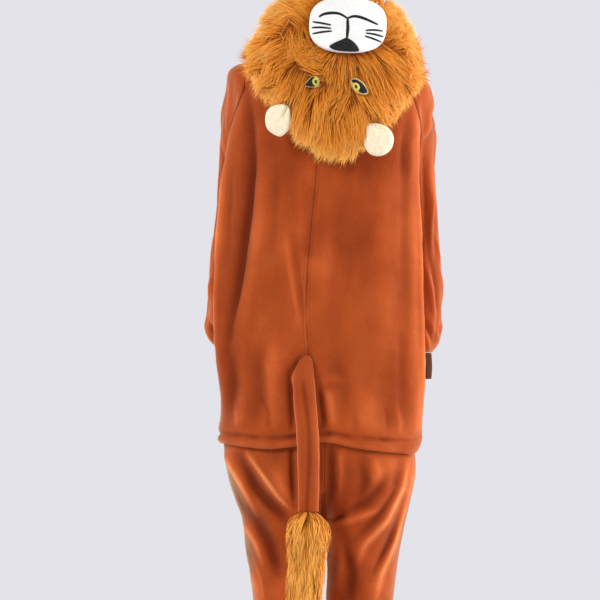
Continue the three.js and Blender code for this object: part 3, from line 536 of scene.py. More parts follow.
def fleece_material():
    """Velvety rust-brown fleece: its nap is brushed in patches, with painted shade in the folds and a painted
    highlight on the ridges.
    """
    material, shader = new_material("fleece", 0.75, 1.0, 0.33, (1.0, 0.74, 0.46), 0.08)
    brushed = noise(material, 5.5, 6, 0.62, (1, 1, 0.6))
    ramp = colour_ramp(material, [
        (0.3, (0.345, 0.054, 0.011)), (0.48, (0.395, 0.067, 0.013)), (0.7, (0.46, 0.088, 0.018)),
    ])
    link(material, brushed, "Fac", ramp, "Fac")
    # Painted shade and highlight: the folds' relief, carried in the UV's Y, darkens the troughs and lightens
    # the ridges, the highest to a peach painted sheen.
    painted_fold_shade = colour_ramp(material, [
        (0.06, (0.44, 0.34, 0.32)), (0.4, (0.88, 0.85, 0.83)), (0.56, (1.05, 1.05, 1.05)),
        (0.82, (1.5, 1.75, 2.1)), (0.95, (2.0, 3.4, 5.6)),
    ])
    link(material, uv_parts(material), "Y", painted_fold_shade, "Fac")
    fine = noise(material, 420, 3, 0.6)
    speck = colour_ramp(material, [(0.3, (0.8, 0.8, 0.8)), (0.75, (1.14, 1.12, 1.1))])
    link(material, fine, "Fac", speck, "Fac")
    streaks = colour_ramp(material, [
        (0.34, (0.84, 0.8, 0.78)), (0.5, (1, 1, 1)), (0.66, (1.13, 1.2, 1.32)),
    ])
    link(material, noise(material, 13, 5, 0.62, (1, 1, 0.5)), "Fac", streaks, "Fac")
    links = material.node_tree.links
    before = ramp.outputs["Color"]
    for layer, share in ((painted_fold_shade, 1.0), (streaks, 0.5), (speck, 0.7)):
        blend = add_node(material, "ShaderNodeMix", data_type="RGBA", blend_type="MULTIPLY")
        blend.inputs[0].default_value = share
        links.new(before, blend.inputs[6])
        links.new(layer.outputs["Color"], blend.inputs[7])
        before = blend.outputs[2]
    links.new(before, shader.inputs["Base Color"])
    add_bump(material, shader, [
        (noise(material, 26, 5, 0.6), 0.45, 0.004), (noise(material, 900, 2, 0.5), 0.5, 0.0006),
    ])
    return material


def rib_material():
    """Dark rib knit."""
    material, shader = new_material("rib", 0.95, 0.2, 0.5, (0.8, 0.4, 0.3), 0.15)
    tone(material, shader, noise(material, 500, 3), [
        (0.3, (0.045, 0.014, 0.009)), (0.7, (0.12, 0.036, 0.022)),
    ])
    add_bump(material, shader, [(noise(material, 1200, 2), 0.5, 0.0005)])
    return material


def fur_material(name, stops, spread):
    """Fur: dark at the root and light at the tip, each strand a little different."""
    material, shader = new_material(name, 0.55, 0.3, 0.3, (1.0, 0.72, 0.3), 0.12)
    split = uv_parts(material)
    vary = add_node(material, "ShaderNodeMath", {1: spread}, operation="MULTIPLY")
    link(material, split, "X", vary, 0)
    total = add_node(material, "ShaderNodeMath", operation="ADD")
    link(material, split, "Y", total, 0)
    link(material, vary, "Value", total, 1)
    ramp = colour_ramp(material, stops)
    link(material, total, "Value", ramp, "Fac")
    link(material, ramp, "Color", shader, "Base Color")
    return material


def plush_material(name, low, high, bump_depth, sheen):
    """Short dense plush."""
    material, shader = new_material(name, 0.92, sheen, 0.5, (1, 1, 1), 0.15)
    tone(material, shader, noise(material, 160, 4), [(0.3, low), (0.7, high)])
    add_bump(material, shader, [
        (noise(material, 60, 3), 0.3, bump_depth), (noise(material, 800, 3), 0.6, bump_depth * 0.35),
    ])
    return material


def stitch_material(name, colour, lighter):
    """Satin stitch: fine threads side by side with a soft gloss."""
    material, shader = new_material(name, 0.6, 0.0, 0.3, (1, 1, 1), 0.15)
    threads = noise(material, 900, 2, 0.5, (0.25, 1, 1))
    tone(material, shader, threads, [(0.35, colour), (0.7, lighter)])
    add_bump(material, shader, [(threads, 0.6, 0.0006)])
    return material


def skin_material():
    """The mane's backing, in the fur's darker tones."""
    material, shader = new_material("mane_skin", 0.95)
    tone(material, shader, noise(material, 120, 4), [(0.3, (0.2, 0.05, 0.008)), (0.7, (0.42, 0.13, 0.02))])
    add_bump(material, shader, [(noise(material, 400, 3), 0.7, 0.002)])
    return material


def button_material():
    """Satin brown plastic."""
    material, shader = new_material("button", 0.45, 0, 0.3, (1, 1, 1), 0.3)
    tone(material, shader, noise(material, 60, 4), [(0.3, (0.2, 0.05, 0.016)), (0.7, (0.3, 0.09, 0.03))])
    return material


FLEECE = fleece_material()
RIB = rib_material()
MANE_STOPS = [
    (0.0, (0.17, 0.036, 0.003)), (0.26, (0.55, 0.145, 0.012)), (0.6, (0.9, 0.33, 0.034)),
    (1.0, (1.0, 0.64, 0.17)),
]
FUR = fur_material("mane_fur", MANE_STOPS, 0.42)
TUFT_STOPS = [
    (0.0, (0.3, 0.085, 0.008)), (0.28, (0.72, 0.27, 0.03)), (0.6, (0.98, 0.46, 0.075)),
    (1.0, (1.0, 0.68, 0.19)),
]
TUFT_FUR = fur_material("tuft_fur", TUFT_STOPS, 0.42)
SKIN = skin_material()
WHITE = plush_material("white_plush", (0.86, 0.87, 0.88), (0.93, 0.94, 0.95), 0.0008, 0.15)
CREAM = plush_material("cream_plush", (0.84, 0.75, 0.53), (0.93, 0.86, 0.66), 0.0012, 0.2)
BLACK = stitch_material("black_stitch", (0.006, 0.006, 0.007), (0.03, 0.03, 0.032))
YELLOW = stitch_material("yellow_stitch", (0.55, 0.42, 0.03), (0.85, 0.74, 0.15))
PALE = stitch_material("pale_stitch", (0.42, 0.28, 0.09), (0.76, 0.62, 0.3))
GREEN = stitch_material("green_stitch", (0.02, 0.05, 0.02), (0.05, 0.1, 0.04))
THREAD = stitch_material("seam_thread", (0.22, 0.036, 0.01), (0.4, 0.08, 0.025))
BUTTON = button_material()


# Cloth


def panel_grid(sign, face, columns, rows_below, rows_hole, rows_above):
    """A body panel from its side seam, armhole and shoulder seam to its centre line."""
    low, high = ARMHOLE_ROW - ARMHOLE_HALF, ARMHOLE_ROW + ARMHOLE_HALF
    hole = ARMHOLE_ROW - ARMHOLE_HALF * np.cos(np.linspace(0, np.pi, rows_hole))
    top = NECK_ROW if face > 0 else NECK_ROW - FRONT_NECK_DROP
    rows = np.concatenate([
        np.linspace(0, low, rows_below)[:-1], hole, np.linspace(high, top, rows_above)[1:],
    ])
    u, row = np.meshgrid(np.linspace(0, 1, columns), rows, indexing="ij")
    if face < 0:
        over = np.clip((row - high) / (top - high), 0, 1)
        row = row + over * (neck_row(mix(SHOULDER_SEAM, 180, u)) - top)
    edge = sign * (side_turn(row) - face * armhole_open(row))
    centre = seam_turn(row) if face > 0 else np.full_like(row, sign * 180)
    return body_form(mix(edge, centre, u), row)


def cloth_piece(name, grid, sign, closed=False, material=FLEECE,
                relief=None):
    """A cloth shell in place of the frame's piece, which is hidden."""
    piece = shell(name + "_cloth", grid, sign, material, closed, relief=relief)
    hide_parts(name)


def make_panels():
    """The two back panels and the two front panels."""
    for side, sign in SIDES:
        back, back_rise = panel_grid(sign, 1, 80, 150, 40, 34)
        front, front_rise = panel_grid(sign, -1, 36, 84, 28, 18)
        # The folds' lift also paints shade into the troughs and a highlight onto the ridges.
        cloth_piece(f"back_{side}", back, -sign, relief=back_rise)
        cloth_piece(f"front_{side}", front, sign, relief=front_rise)


def sleeve_point(side, angle, row):
    """A point of a sleeve's tube, from its armhole at row -1 to its cuff."""
    sign = -1 if side == "left" else 1

    def ring(r):
        drop = SLEEVE_DROP[side] * np.clip(r, 0, None) / SLEEVE_ROWS
        half = along(SLEEVE, "half", r)
        x = sign * (along(SLEEVE, side, r) - half * (1 + np.cos(angle)))
        y = along(SLEEVE, "y", r) - along(SLEEVE, "deep", r) * np.sin(angle)
        return np.stack([x, y, along(SLEEVE, "z", r) - drop], -1)

    w = np.clip(row + 1, 0, 1)
    body_row = ARMHOLE_ROW - ARMHOLE_HALF * np.cos(angle)
    turn = sign * (side_turn(body_row) - ARMHOLE_OPEN * np.sin(angle))
    start, end = body(turn, body_row, 0.0), ring(np.zeros_like(row))
    high = (1 - np.cos(angle)) / 2
    share = (w * w * (3 - 2 * w))[..., None]
    top = start + (end - start) * share
    top[..., 0] += sign * mix(*SLEEVE_SPREAD, high) * w * (1 - w) ** 2
    top[..., 2] += mix(*SLEEVE_FALL, high) * w * w * (1 - w)
    return np.where((row < 0)[..., None], top, ring(np.clip(row, 0, None)))


# Sleeve folds: degrees round, slant, height, length, width in degrees, rise
SLEEVE_FOLDS = [
    (150, 30, -120, 90, 8, 5), (190, -25, -80, 70, 8, 5), (120, 20, -240, 90, 9, 4),
    (180, -30, -330, 80, 8, -5), (220, 25, -300, 90, 9, 4), (150, -35, -420, 70, 8, 4),
    (200, 30, -470, 60, 7, -5), (100, -20, -440, 70, 10, 3), (250, 20, -200, 90, 11, -4),
    (300, -20, -380, 80, 11, 4), (60, 20, -360, 80, 10, -3), (170, 10, -500, 26, 11, 4),
    (110, -10, -505, 24, 11, 4), (240, 10, -505, 24, 11, 4), (300, 0, -500, 24, 11, 4),
    (140, 20, -180, 60, 6, -5), (165, -15, -250, 80, 6, -5), (205, 20, -140, 80, 7, -5),
    (95, 10, -320, 90, 9, -4), (132, -20, -350, 60, 6, 4), (215, -20, -400, 60, 7, 4),
    (140, 0, -505, 18, 6, -4), (205, 0, -505, 18, 6, -4), (75, 0, -505, 18, 8, -3),
]
# How much fuller the sleeves are than their rows, each a height, a half-height and a width
SLEEVE_FULL = {
    "left": [(0, 28, 9), (-180, 60, -2), (-375, 60, 6)],
    "right": [(-42, 38, 14), (-110, 50, 6), (-215, 50, -4)],
}
# Creases on the sleeves' backs, as the photograph shows them: width, rise, and pixels along the crease. Their
# rise also paints shade into the troughs and a highlight onto the ridges.
SLEEVE_CREASES = {
    "left": [
        (4, 4, [(232, 76), (229, 100), (226, 130)]), (5, -5, [(226, 82), (223, 110), (221, 140)]),
        (5, 4, [(219, 140), (217, 180), (215, 220)]), (5, -5, [(223, 150), (220, 190), (217, 230)]),
        (5, 4, [(214, 235), (213, 270), (210, 305)]), (5, -4, [(210, 240), (209, 275), (207, 310)]),
        (4, -4, [(209, 318), (212, 332), (213, 343)]), (4, 4, [(213, 316), (215, 330), (215, 343)]),
        (4, 3, [(214, 300), (211, 316), (208, 330)]),
    ],
    "right": [
        (4, 5, [(427.4, 79), (427.6, 107), (424.5, 130)]), (6, -5, [(432, 84), (431.6, 108), (428, 126)]),
        (4, 5, [(437, 108), (430, 122), (421.7, 137)]), (5, -5, [(438, 118), (431, 130), (424, 144)]),
        (6, -4, [(424, 150), (427, 200), (425, 250)]), (5, 4, [(431, 150), (434, 200), (431, 250)]),
        (5, -4, [(437, 190), (436, 230), (437, 262)]), (5, 4, [(426, 262), (432, 290), (436, 318)]),
        (5, -5, [(432, 262), (437, 290), (438, 318)]), (5, -4, [(424, 318), (430, 332), (434, 345)]),
        (4, 4, [(424, 330), (428, 340), (430, 350)]), (4, -4, [(438, 318), (436, 334), (437, 346)]),
    ],
}


def make_sleeves():
    """Sleeves with slanting folds, the creases that show, and their fuller places."""
    for side, sign in SIDES:
        rows = np.concatenate([np.linspace(-1, 0, 44), np.linspace(0, SLEEVE_ROWS, 72)[1:]])
        angle, row = np.meshgrid(turns_round(90), rows, indexing="ij")
        grid = sleeve_point(side, angle, row)
        normal = normals_of(grid, -sign, True)
        rise = np.zeros_like(row)
        degrees = np.degrees(angle)
        shift = 0 if side == "left" else 23
        for turn, slant, height, length, width, depth in SLEEVE_FOLDS:
            t = (grid[..., 2] - height) / length
            away = (degrees - turn - shift - slant * t + 180) % 360 - 180
            rise += depth * bell(away, 0, width) * np.exp(-(t * t) * 3)
        shown = crease_rise(SLEEVE_CREASES[side], grid[..., 0], grid[..., 2])
        rise += shown * ease(np.sin(angle) + 0.3)
        rise *= ease((row + 1) / 0.3) * ease((SLEEVE_ROWS - row) / 0.5)
        inside = ease((np.cos(angle) - 0.1) / 0.5)
        full = sum(more * bell(grid[..., 2], z, half) for z, half, more in SLEEVE_FULL[side])
        full = full * ease((row + 1) / 0.22) * ease(0.4 - np.cos(angle))
        grid = grid + np.array([sign, 0, 0.3]) * full[..., None]
        soft = ripple(grid[..., 0] * 1.6, grid[..., 1], grid[..., 2] * 1.3, 4.0 + sign)
        rise = rise * (1 - 0.8 * inside)
        rise = rise + 0.6 * soft * ease((row + 1) / 0.4) * ease((SLEEVE_ROWS - row) / 0.4)
        grid = grid + normal * rise[..., None]
        # The rise also paints shade into the troughs and a highlight onto the ridges.
        cloth_piece(f"sleeve_{side}", grid, -sign, closed=True, relief=rise)


def leg_point(side, turn, row):
    """A point of a leg and its folds' lift: one trunk at the top that parts into two tubes below."""
    sign = -1 if side == "left" else 1
    out = along(LEG, side, row)
    near = sign * along(LEG, "innerLeft" if side == "left" else "innerRight", row)
    parted = np.clip(along(LEG, "parted", row), 0, 1)
    angle = np.radians(turn)
    deep = np.where(turn < 180, along(LEG, "back", row), along(LEG, "front", row))
    half = section(angle / 2, out, deep)
    trunk_x, trunk_y = half * np.sin(angle / 2), -half * np.cos(angle / 2)
    tube = angle - np.pi / 2
    tube_x = (out + near) / 2 + (out - near) / 2 * squared_off(np.sin(tube), 0.9)
    tube_y = -deep * squared_off(np.sin(angle), 0.9)
    x = sign * mix(trunk_x, tube_x, parted)
    y = mix(trunk_y, tube_y, parted)
    z = along(LEG, "z", row)
    behind = ease(0.5 - y / 50)
    rise = crease_rise(LEG_BACK_CREASES, x, z) * behind
    rise = rise + crease_rise(LEG_FRONT_CREASES, x, z) * (1 - behind)
    inner = ease(np.abs(x) / 14)
    ends = ease((row - 0.6) / 1.6) * ease((LEG_ROWS - row) / 0.7 + 0.15)
    rise = (rise + ripple(x, y, z, 2.9)) * ends * inner
    middle = sign * (out + near) / 2
    reach = np.maximum(np.hypot(x - middle, y), 1)
    return np.stack([x + (x - middle) / reach * rise * 0.5, y + y / reach * rise, z], -1), rise


def make_legs():
    """Each leg's back and front panel."""
    for side, sign in SIDES:
        for face, low, columns, count in (("back", 0, 66, 190), ("front", 180, 44, 120)):
            rows = np.linspace(0, LEG_ROWS, count)
            turn, row = np.meshgrid(np.linspace(low, low + 180, columns), rows, indexing="ij")
            grid, rise = leg_point(side, turn, row)
            # The raised relief only strengthens the painted fold shade and highlight.
            cloth_piece(f"leg_{face}_{side}", grid, -sign, relief=rise * LEG_SHADE_BOOST)


def make_shaded_strip():
    """A narrow strip of fleece that closes the groove where the two legs meet behind, painted darker as the
    groove's shade.
    """
    rows = np.linspace(3.6, 6.5, 40)
    half = 5.4
    turn, row = np.meshgrid(np.linspace(0, 60, 61), rows, indexing="ij")
    lines = []
    for side in ("left", "right"):
        wall, _ = leg_point(side, turn, row)
        lines.append([
            np.interp(half + 0.9, np.abs(wall[:, k, 0]), wall[:, k, 1]) for k in range(len(rows))
        ])
    depth = np.maximum(*np.array(lines)) + 0.6
    height = along(LEG, "z", rows)
    x, z = np.meshgrid(np.linspace(-half, half, 9), height, indexing="ij")
    sag = 2.2 * (1 - (x / half) ** 2)
    grid = np.stack([x, np.broadcast_to(depth, x.shape) + sag, z], -1)
    # A relief of -4 everywhere: painted shade.
    piece = shell("leg_shaded_strip", grid, 1, FLEECE, thick=1.0, trim=0.0, relief=np.full(x.shape, -4.0))


def make_cuffs():
    """Rib-knit tubes with real ribs."""
    ribs = 40
    for name, x, y, wide, deep, top, bottom in CUFFS:
        z = np.linspace(bottom, top, 10)
        angle, height = np.meshgrid(turns_round(ribs * 4), z, indexing="ij")
        share = (height - bottom) / (top - bottom)
        rib = 0.9 * np.cos(angle * ribs) - 1.0 + 1.6 * np.sin(np.pi * share)
        grid = np.stack([x + (wide + rib) * np.cos(angle), y + (deep + rib) * np.sin(angle), height], -1)
        cloth_piece(name, grid, 1, closed=True, material=RIB)


# The hood


def hood_lines(turn):
    """Distance out and height of the hood's eight guide points at each turn."""
    row = row_at(HOOD, "turn", turn)
    get = {name: along(HOOD, name, row) for name in HOOD if name != "turn"}

    def standing(body_row, off):
        point = body(turn, body_row, 0.0)
        return np.hypot(point[..., 0], point[..., 1]) + off, point[..., 2] + off * 0.5

    neck = neck_row(turn)
    start_r, start_z = standing(neck, 0)
    start_z = start_z + HOOD_RAISE
    fold_row = np.minimum(get["row"], neck - 0.3)
    mid_r, mid_z = standing(mix(neck, fold_row, 0.45), HOOD_CLEAR)
    low_r, low_z = standing(fold_row, HOOD_CLEAR)
    floor_r, floor_z = low_r + get["fold"] * 0.7, low_z - get["fold"] * 0.32
    rs = [start_r, mid_r, low_r, floor_r, mix(floor_r, get["reach"], 0.8), get["reach"],
          mix(get["reach"], get["rim"], 0.42), get["rim"]]
    zs = [start_z, mid_z, low_z, floor_z, mix(floor_z, get["reachZ"], 0.42), get["reachZ"],
          mix(get["reachZ"], get["rimZ"], 0.55), get["rimZ"]]
    return np.stack(rs), np.stack(zs)


HOOD_HALVES = (("hood_left", -HOOD_TURN, HOOD_SEAM_TURN), ("hood_right", HOOD_SEAM_TURN, HOOD_TURN))
HOOD_TURNS = np.linspace(-HOOD_TURN - 2, HOOD_TURN + 2, 1337)
HOOD_LINES = hood_lines(HOOD_TURNS)


def hood(turn, v):
    """The hood's fur side: degrees from the back, and 0 at the neck to 1 at the rim."""
    turn, v = np.broadcast_arrays(np.asarray(turn, float), np.asarray(v, float))
    rs = np.stack([np.interp(turn, HOOD_TURNS, line) for line in HOOD_LINES[0]])
    zs = np.stack([np.interp(turn, HOOD_TURNS, line) for line in HOOD_LINES[1]])
    last = len(rs) - 1
    s = v * last
    i = np.clip(np.floor(s).astype(int), 0, last - 1)

    def curve(values):
        near = (np.take_along_axis(values, np.clip(i + k, 0, last)[None], 0)[0] for k in (-1, 0, 1, 2))
        return through(*near, s - i)

    r, z = curve(rs), curve(zs)
    angle = np.radians(turn)
    return np.stack([r * np.sin(angle), -r * np.cos(angle), z], -1)


def hood_normal(turn, v):
    """The way out of the hood's fur side, from small steps round and along it."""
    du, dv = 0.2, 0.002
    v = np.clip(v, 0.004, 0.996)
    across = hood(turn + du, v) - hood(turn - du, v)
    up = hood(turn, np.minimum(v + dv, 1)) - hood(turn, v - dv)
    return unit(np.cross(across, up))


def under_pile(depth, turn, v):
    """How far under the tips of the pile the backing lies: shallower towards the neck and the front."""
    return depth * ease((v - 0.4) / 0.2) * mix(1, 0.35, ease((np.abs(turn) - 85) / 45))


def hood_under(x, z):
    """Where the hood's outer face is met, looking from behind at a place across and up."""
    x, z = np.broadcast_arrays(np.asarray(x, float), np.asarray(z, float))
    turn, v = x / 3.2, np.full(x.shape, 0.75)
    for _ in range(12):
        here = hood(turn, v)
        ex, ez = x - here[..., 0], z - here[..., 2]
        a = (hood(turn + 0.5, v) - here) / 0.5
        b = (hood(turn, v + 0.005) - here) / 0.005
        det = a[..., 0] * b[..., 2] - a[..., 2] * b[..., 0]
        turn = turn + np.clip((ex * b[..., 2] - ez * b[..., 0]) / det, -12, 12)
        v = np.clip(v + np.clip((a[..., 0] * ez - a[..., 2] * ex) / det, -0.08, 0.08), 0.5, 1)
    return turn, v


def make_hood_skin():
    """The mane's backing cloth, under the tips of the pile."""
    for name, low, high in HOOD_HALVES:
        turn, v = np.meshgrid(np.linspace(low, high, 60), np.linspace(0, 1, 70), indexing="ij")
        grid = hood(turn, v) - hood_normal(turn, v) * under_pile(SKIN_DEPTH, turn, v)[..., None]
        grid = drawn_in(grid, 0.66, 0.86, v)
        piece = shell(name + "_skin", grid, 1, SKIN)
        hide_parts(name)


# The mane's outline seen from behind, across and up, and the place that its fur grows away from
MANE_MIDDLE = (38.0, -5.0)
MANE_OUTLINE = [
    (0, 190), (-40, 172), (-78, 142), (-104, 118), (-126, 80), (-141, 60), (-160, 24), (-156, -2),
    (-142, -20), (-118, -46), (-100, -72), (-82, -104), (-60, -130), (-32, -152), (-6, -170),
    (21, -181), (48, -170),
    (68, -158), (92, -142), (119, -116), (146, -78), (168, -59), (186, -38), (199, -14), (193, 21), (182, 57),
    (178, 92), (156, 112), (130, 132), (100, 160), (60, 182),
]


def outline_reach(x, z):
    """How far the mane's outline lies from its middle, towards each place."""
    corners = np.array(MANE_OUTLINE, float) - MANE_MIDDLE
    angles = np.arctan2(corners[:, 1], corners[:, 0])
    order = np.argsort(angles)
    reaches = np.hypot(corners[:, 0], corners[:, 1])[order]
    towards = np.arctan2(z - MANE_MIDDLE[1], x - MANE_MIDDLE[0])
    return np.interp(towards, angles[order], reaches, period=2 * np.pi)


def outline_share(points):
    """How far out points lie, as a share of the way from the mane's middle to its outline."""
    x, z = points[..., 0], points[..., 2]
    return np.hypot(x - MANE_MIDDLE[0], z - MANE_MIDDLE[1]) / outline_reach(x, z)


def drawn_in(points, low, high, v):
    """Draws points that lie near or past the mane's outline inside it, seen from behind."""
    x, z = points[..., 0], points[..., 2]
    share = outline_share(points)
    weight = ease((v - 0.2) / 0.15)
    room = high - low
    held = np.where(share > low, low + room * np.tanh((share - low) / room), share)
    scale = mix(1.0, held / np.maximum(share, 1e-6), weight)
    moved = points.copy()
    moved[..., 0] = MANE_MIDDLE[0] + (x - MANE_MIDDLE[0]) * scale
    moved[..., 2] = MANE_MIDDLE[1] + (z - MANE_MIDDLE[1]) * scale
    return moved


# Places on the hood's face that the fur leaves bare: across, up, half-width, half-height
BARE = [
    (45, 84, 70, 49), (-22, -24, 11, 9), (68, -31, 13, 10), (-89, -100, 14, 18), (107, -136, 15, 17),
]
EAR_PLACES = ((-89, -100), (107, -137))
EAR_CLEAR = 25  # no strand's outer part crosses an ear nearer to its middle than this
RIM_STRANDS = 3200  # of each half's strands, these thicken the rim above the face


def blades(name, path, normal, width, shade, material, top=0.62):
    """Many fur strands as one mesh: flat tapering blades along their paths."""
    count, steps = path.shape[0], path.shape[1] - 1
    t = np.linspace(0, 1, steps + 1)[None, :, None]
    tangent = unit(np.gradient(path, axis=1))
    side = unit(np.cross(tangent, normal[:, None] + rng.normal(0, 0.4, (count, 1, 3))))
    half = width[:, None, None] * 0.5 * (1 - t ** 2.2) + 0.04
    points = np.stack([path - side * half, path + side * half], 2).reshape(-1, 3)
    base = (np.arange(count) * (steps + 1) * 2)[:, None] + (np.arange(steps) * 2)[None]
    faces = np.stack([base, base + 1, base + 3, base + 2], -1).reshape(-1, 4)
    shades = np.repeat(shade, (steps + 1) * 2)
    heights = np.tile(np.repeat(np.linspace(0, top, steps + 1), 2), count)
    piece = new_mesh(name, points, faces.tolist(), material, np.stack([shades, heights], 1))
    return piece


def clumped(anchors, points):
    """The number of the nearest clump for each strand, and the clumps' middles."""
    centres = points[rng.integers(0, len(points), anchors)]
    nearest = np.empty(len(points), dtype=int)
    for start in range(0, len(points), 2000):
        gap = points[start:start + 2000, None] - centres[None]
        nearest[start:start + 2000] = np.argmin((gap * gap).sum(-1), 1)
    return nearest, centres


def bare_places(skin):
    """Which roots lie where the face, the eyes or the ears leave the fur bare."""
    bare = np.zeros(len(skin), dtype=bool)
    for x, z, wide, high in BARE:
        inside = np.hypot((skin[:, 0] - x) / wide, (skin[:, 2] - z) / high) < 1
        bare |= inside & (skin[:, 1] < 0)
    return bare


def make_mane():
    """The mane: clumped fur that grows away from the face and hangs over the hood's fold."""
    t = np.linspace(0, 1, 5)[None, :, None]
    for half, low, high in HOOD_HALVES:
        count = MANE_STRANDS
        turn = rng.uniform(low, high, count * 2)
        v = rng.uniform(0.38, 1.0, count * 2)
        turn[:RIM_STRANDS] *= 0.4
        v[:RIM_STRANDS] = mix(0.93, 1.0, rng.random(RIM_STRANDS))
        keep = rng.random(count * 2) < np.where(np.abs(turn) > 100, 0.4, 0.9)
        turn, v = turn[keep][:count], v[keep][:count]
        skin = hood(turn, v)
        clear = ~bare_places(skin)
        turn, v, skin = turn[clear], v[clear], skin[clear]
        normal = hood_normal(turn, v)
        sunk = under_pile(SKIN_DEPTH - 0.5, turn, v)
        roots = drawn_in(skin - normal * sunk[:, None], 0.66, 0.88, v)
        group, centres = clumped(MANE_CLUMPS, roots)
        away = roots - np.array([MANE_MIDDLE[0], 0.0, 30.0])
        away[:, 1] = 0
        away = unit(away) * 0.85 + np.array([0, 0, -0.3])
        swirl = rng.normal(0, 0.42, (len(centres), 3))[group]
        lean = away + swirl + rng.normal(0, 0.1, away.shape)
        lean = unit(lean - normal * (lean * normal).sum(1, keepdims=True))
        edge = outline_share(roots)
        short = mix(1, 0.62, ease((np.abs(turn) - 85) / 45))
        length = rng.uniform(34, 58, len(turn)) * short * mix(0.5, 1.0, ease((edge - 0.2) / 0.35))
        reach = length[:, None, None]
        heart = centres[group] + lean * length[:, None] * 0.7 - roots
        heart = heart - normal * (heart * normal).sum(1, keepdims=True)
        path = roots[:, None] + normal[:, None] * reach * 0.5 * (t - 0.62 * t * t)
        path = path + lean[:, None] * reach * 0.8 * t
        pull = rng.uniform(0.35, 0.95, len(turn))[:, None, None]
        loose = 1 - 0.65 * np.maximum(ease((v - 0.9) / 0.06), ease((np.abs(turn) - 100) / 30))
        path = path + (heart * 0.8 * loose[:, None])[:, None] * pull * 0.45 * t ** 1.5
        path[..., 2] -= (0.1 * reach * t * t)[..., 0]
        tip_share = outline_share(path[:, -1])
        wanted = 0.99 + rng.normal(0, 0.045, len(turn)) + rng.normal(0, 0.035, len(centres))[group]
        over = (wanted - edge) / np.maximum(tip_share - edge, 1e-6)
        kept = np.where(tip_share > wanted, np.clip(over, 0.22, 1), 1.0)
        path = roots[:, None] + (path - roots[:, None]) * kept[:, None, None]
        shade = 0.3 * rng.random(len(turn)) + 0.35 * rng.random(len(centres))[group]
        shade = shade + 0.5 * ease((edge - 0.5) / 0.45)
        over_ear = np.zeros(len(turn), dtype=bool)
        for x, z in EAR_PLACES:
            near = (np.hypot(path[:, 2:, 0] - x, path[:, 2:, 2] - z) < EAR_CLEAR).any(1)
            over_ear |= near & (path[:, -1, 1] < -90)
        clear = ~over_ear
        path, normal, shade = path[clear], normal[clear], shade[clear]
        width = rng.uniform(0.9, 1.6, len(path))
        piece = blades(half.replace("hood", "mane"), path, normal, width, shade, FUR)
        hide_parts(half)


# The hood's face

MUZZLE = {"x": 45, "z": 82, "wide": 72.5, "high": 52, "rise": 15, "tilt": -2, "power": 2.7}


def pad_height(share, rise, edge=0.35):
    """A dome's height at a share of the way out, with its edge's own height as a share of the rise."""
    return rise * (edge + (1 - edge) * np.sqrt(np.clip(1 - share * share, 0, 1)))


def on_hood(x, z, lift):
    """The point of the hood's face behind a place, lifted off it."""
    turn, v = hood_under(x, z)
    return hood(turn, v) + hood_normal(turn, v) * np.asarray(lift)[..., None]


def ring_bodies(name, stacks, material):
    """One mesh of closed bodies, each a stack of rings with a point in the middle of both ends."""
    points, faces, first = [], [], 0
    for stack in stacks:
        count, sides = stack.shape[:2]
        i = np.arange(sides)
        n = (i + 1) % sides
        for k in range(count - 1):
            low, high = first + k * sides, first + (k + 1) * sides
            faces += np.stack([low + i, low + n, high + n, high + i], 1).tolist()
        last = first + (count - 1) * sides
        back, front = first + count * sides, first + count * sides + 1
        for a, b in zip(i.tolist(), n.tolist()):
            faces += [[back, first + b, first + a], [front, last + a, last + b]]
        points += [stack.reshape(-1, 3), stack[0].mean(0)[None], stack[-1].mean(0)[None]]
        first += count * sides + 2
    return new_mesh(name, np.concatenate(points), faces, material)


def pad(name, spec, rings, sides, material, sink, top):
    """A domed pad on the hood's face with a rounded edge and a flat back pressed into the pile."""
    angle = turns_round(sides)
    power = 2 / spec["power"]
    cx, cz = squared_off(np.cos(angle), power), squared_off(np.sin(angle), power)
    tilt = math.radians(spec["tilt"])

    def ring(share, height):
        across, up = share * spec["wide"] * cx, share * spec["high"] * cz
        x = spec["x"] + across * math.cos(tilt) - up * math.sin(tilt)
        z = spec["z"] + across * math.sin(tilt) + up * math.cos(tilt)
        return on_hood(x, z, height + top(across / spec["wide"], up / spec["high"]))

    shares = np.sin(np.linspace(0.06, 0.5, rings) * np.pi)
    backs = [ring(s, -sink) for s in shares[::2]]
    rim = ring(1.02, spec["rise"] * 0.12)
    domes = [ring(s, pad_height(s, spec["rise"])) for s in shares[::-1]]
    return ring_bodies(name, [np.stack(backs + [rim] + domes)], material)


def muzzle_lift(x, z):
    """How high the muzzle stands off the hood at a place."""
    power = MUZZLE["power"]
    across = np.abs((x - MUZZLE["x"]) / MUZZLE["wide"])
    up = np.abs((z - MUZZLE["z"]) / MUZZLE["high"])
    share = np.clip((across ** power + up ** power) ** (1 / power), 0, 0.97)
    return pad_height(share, MUZZLE["rise"])


def seen_at(x, z, lift_of, up):
    """The place on the face that is seen at x and z from straight behind, lifted off the hood."""
    qx, qz = np.array(x, float), np.array(z, float)
    for _ in range(4):
        sx, sz = seen(on_hood(qx, qz, lift_of(qx, qz) + up))
        qx = qx + x - sx
        qz = qz + z - sz
    return on_hood(qx, qz, lift_of(qx, qz) + up)


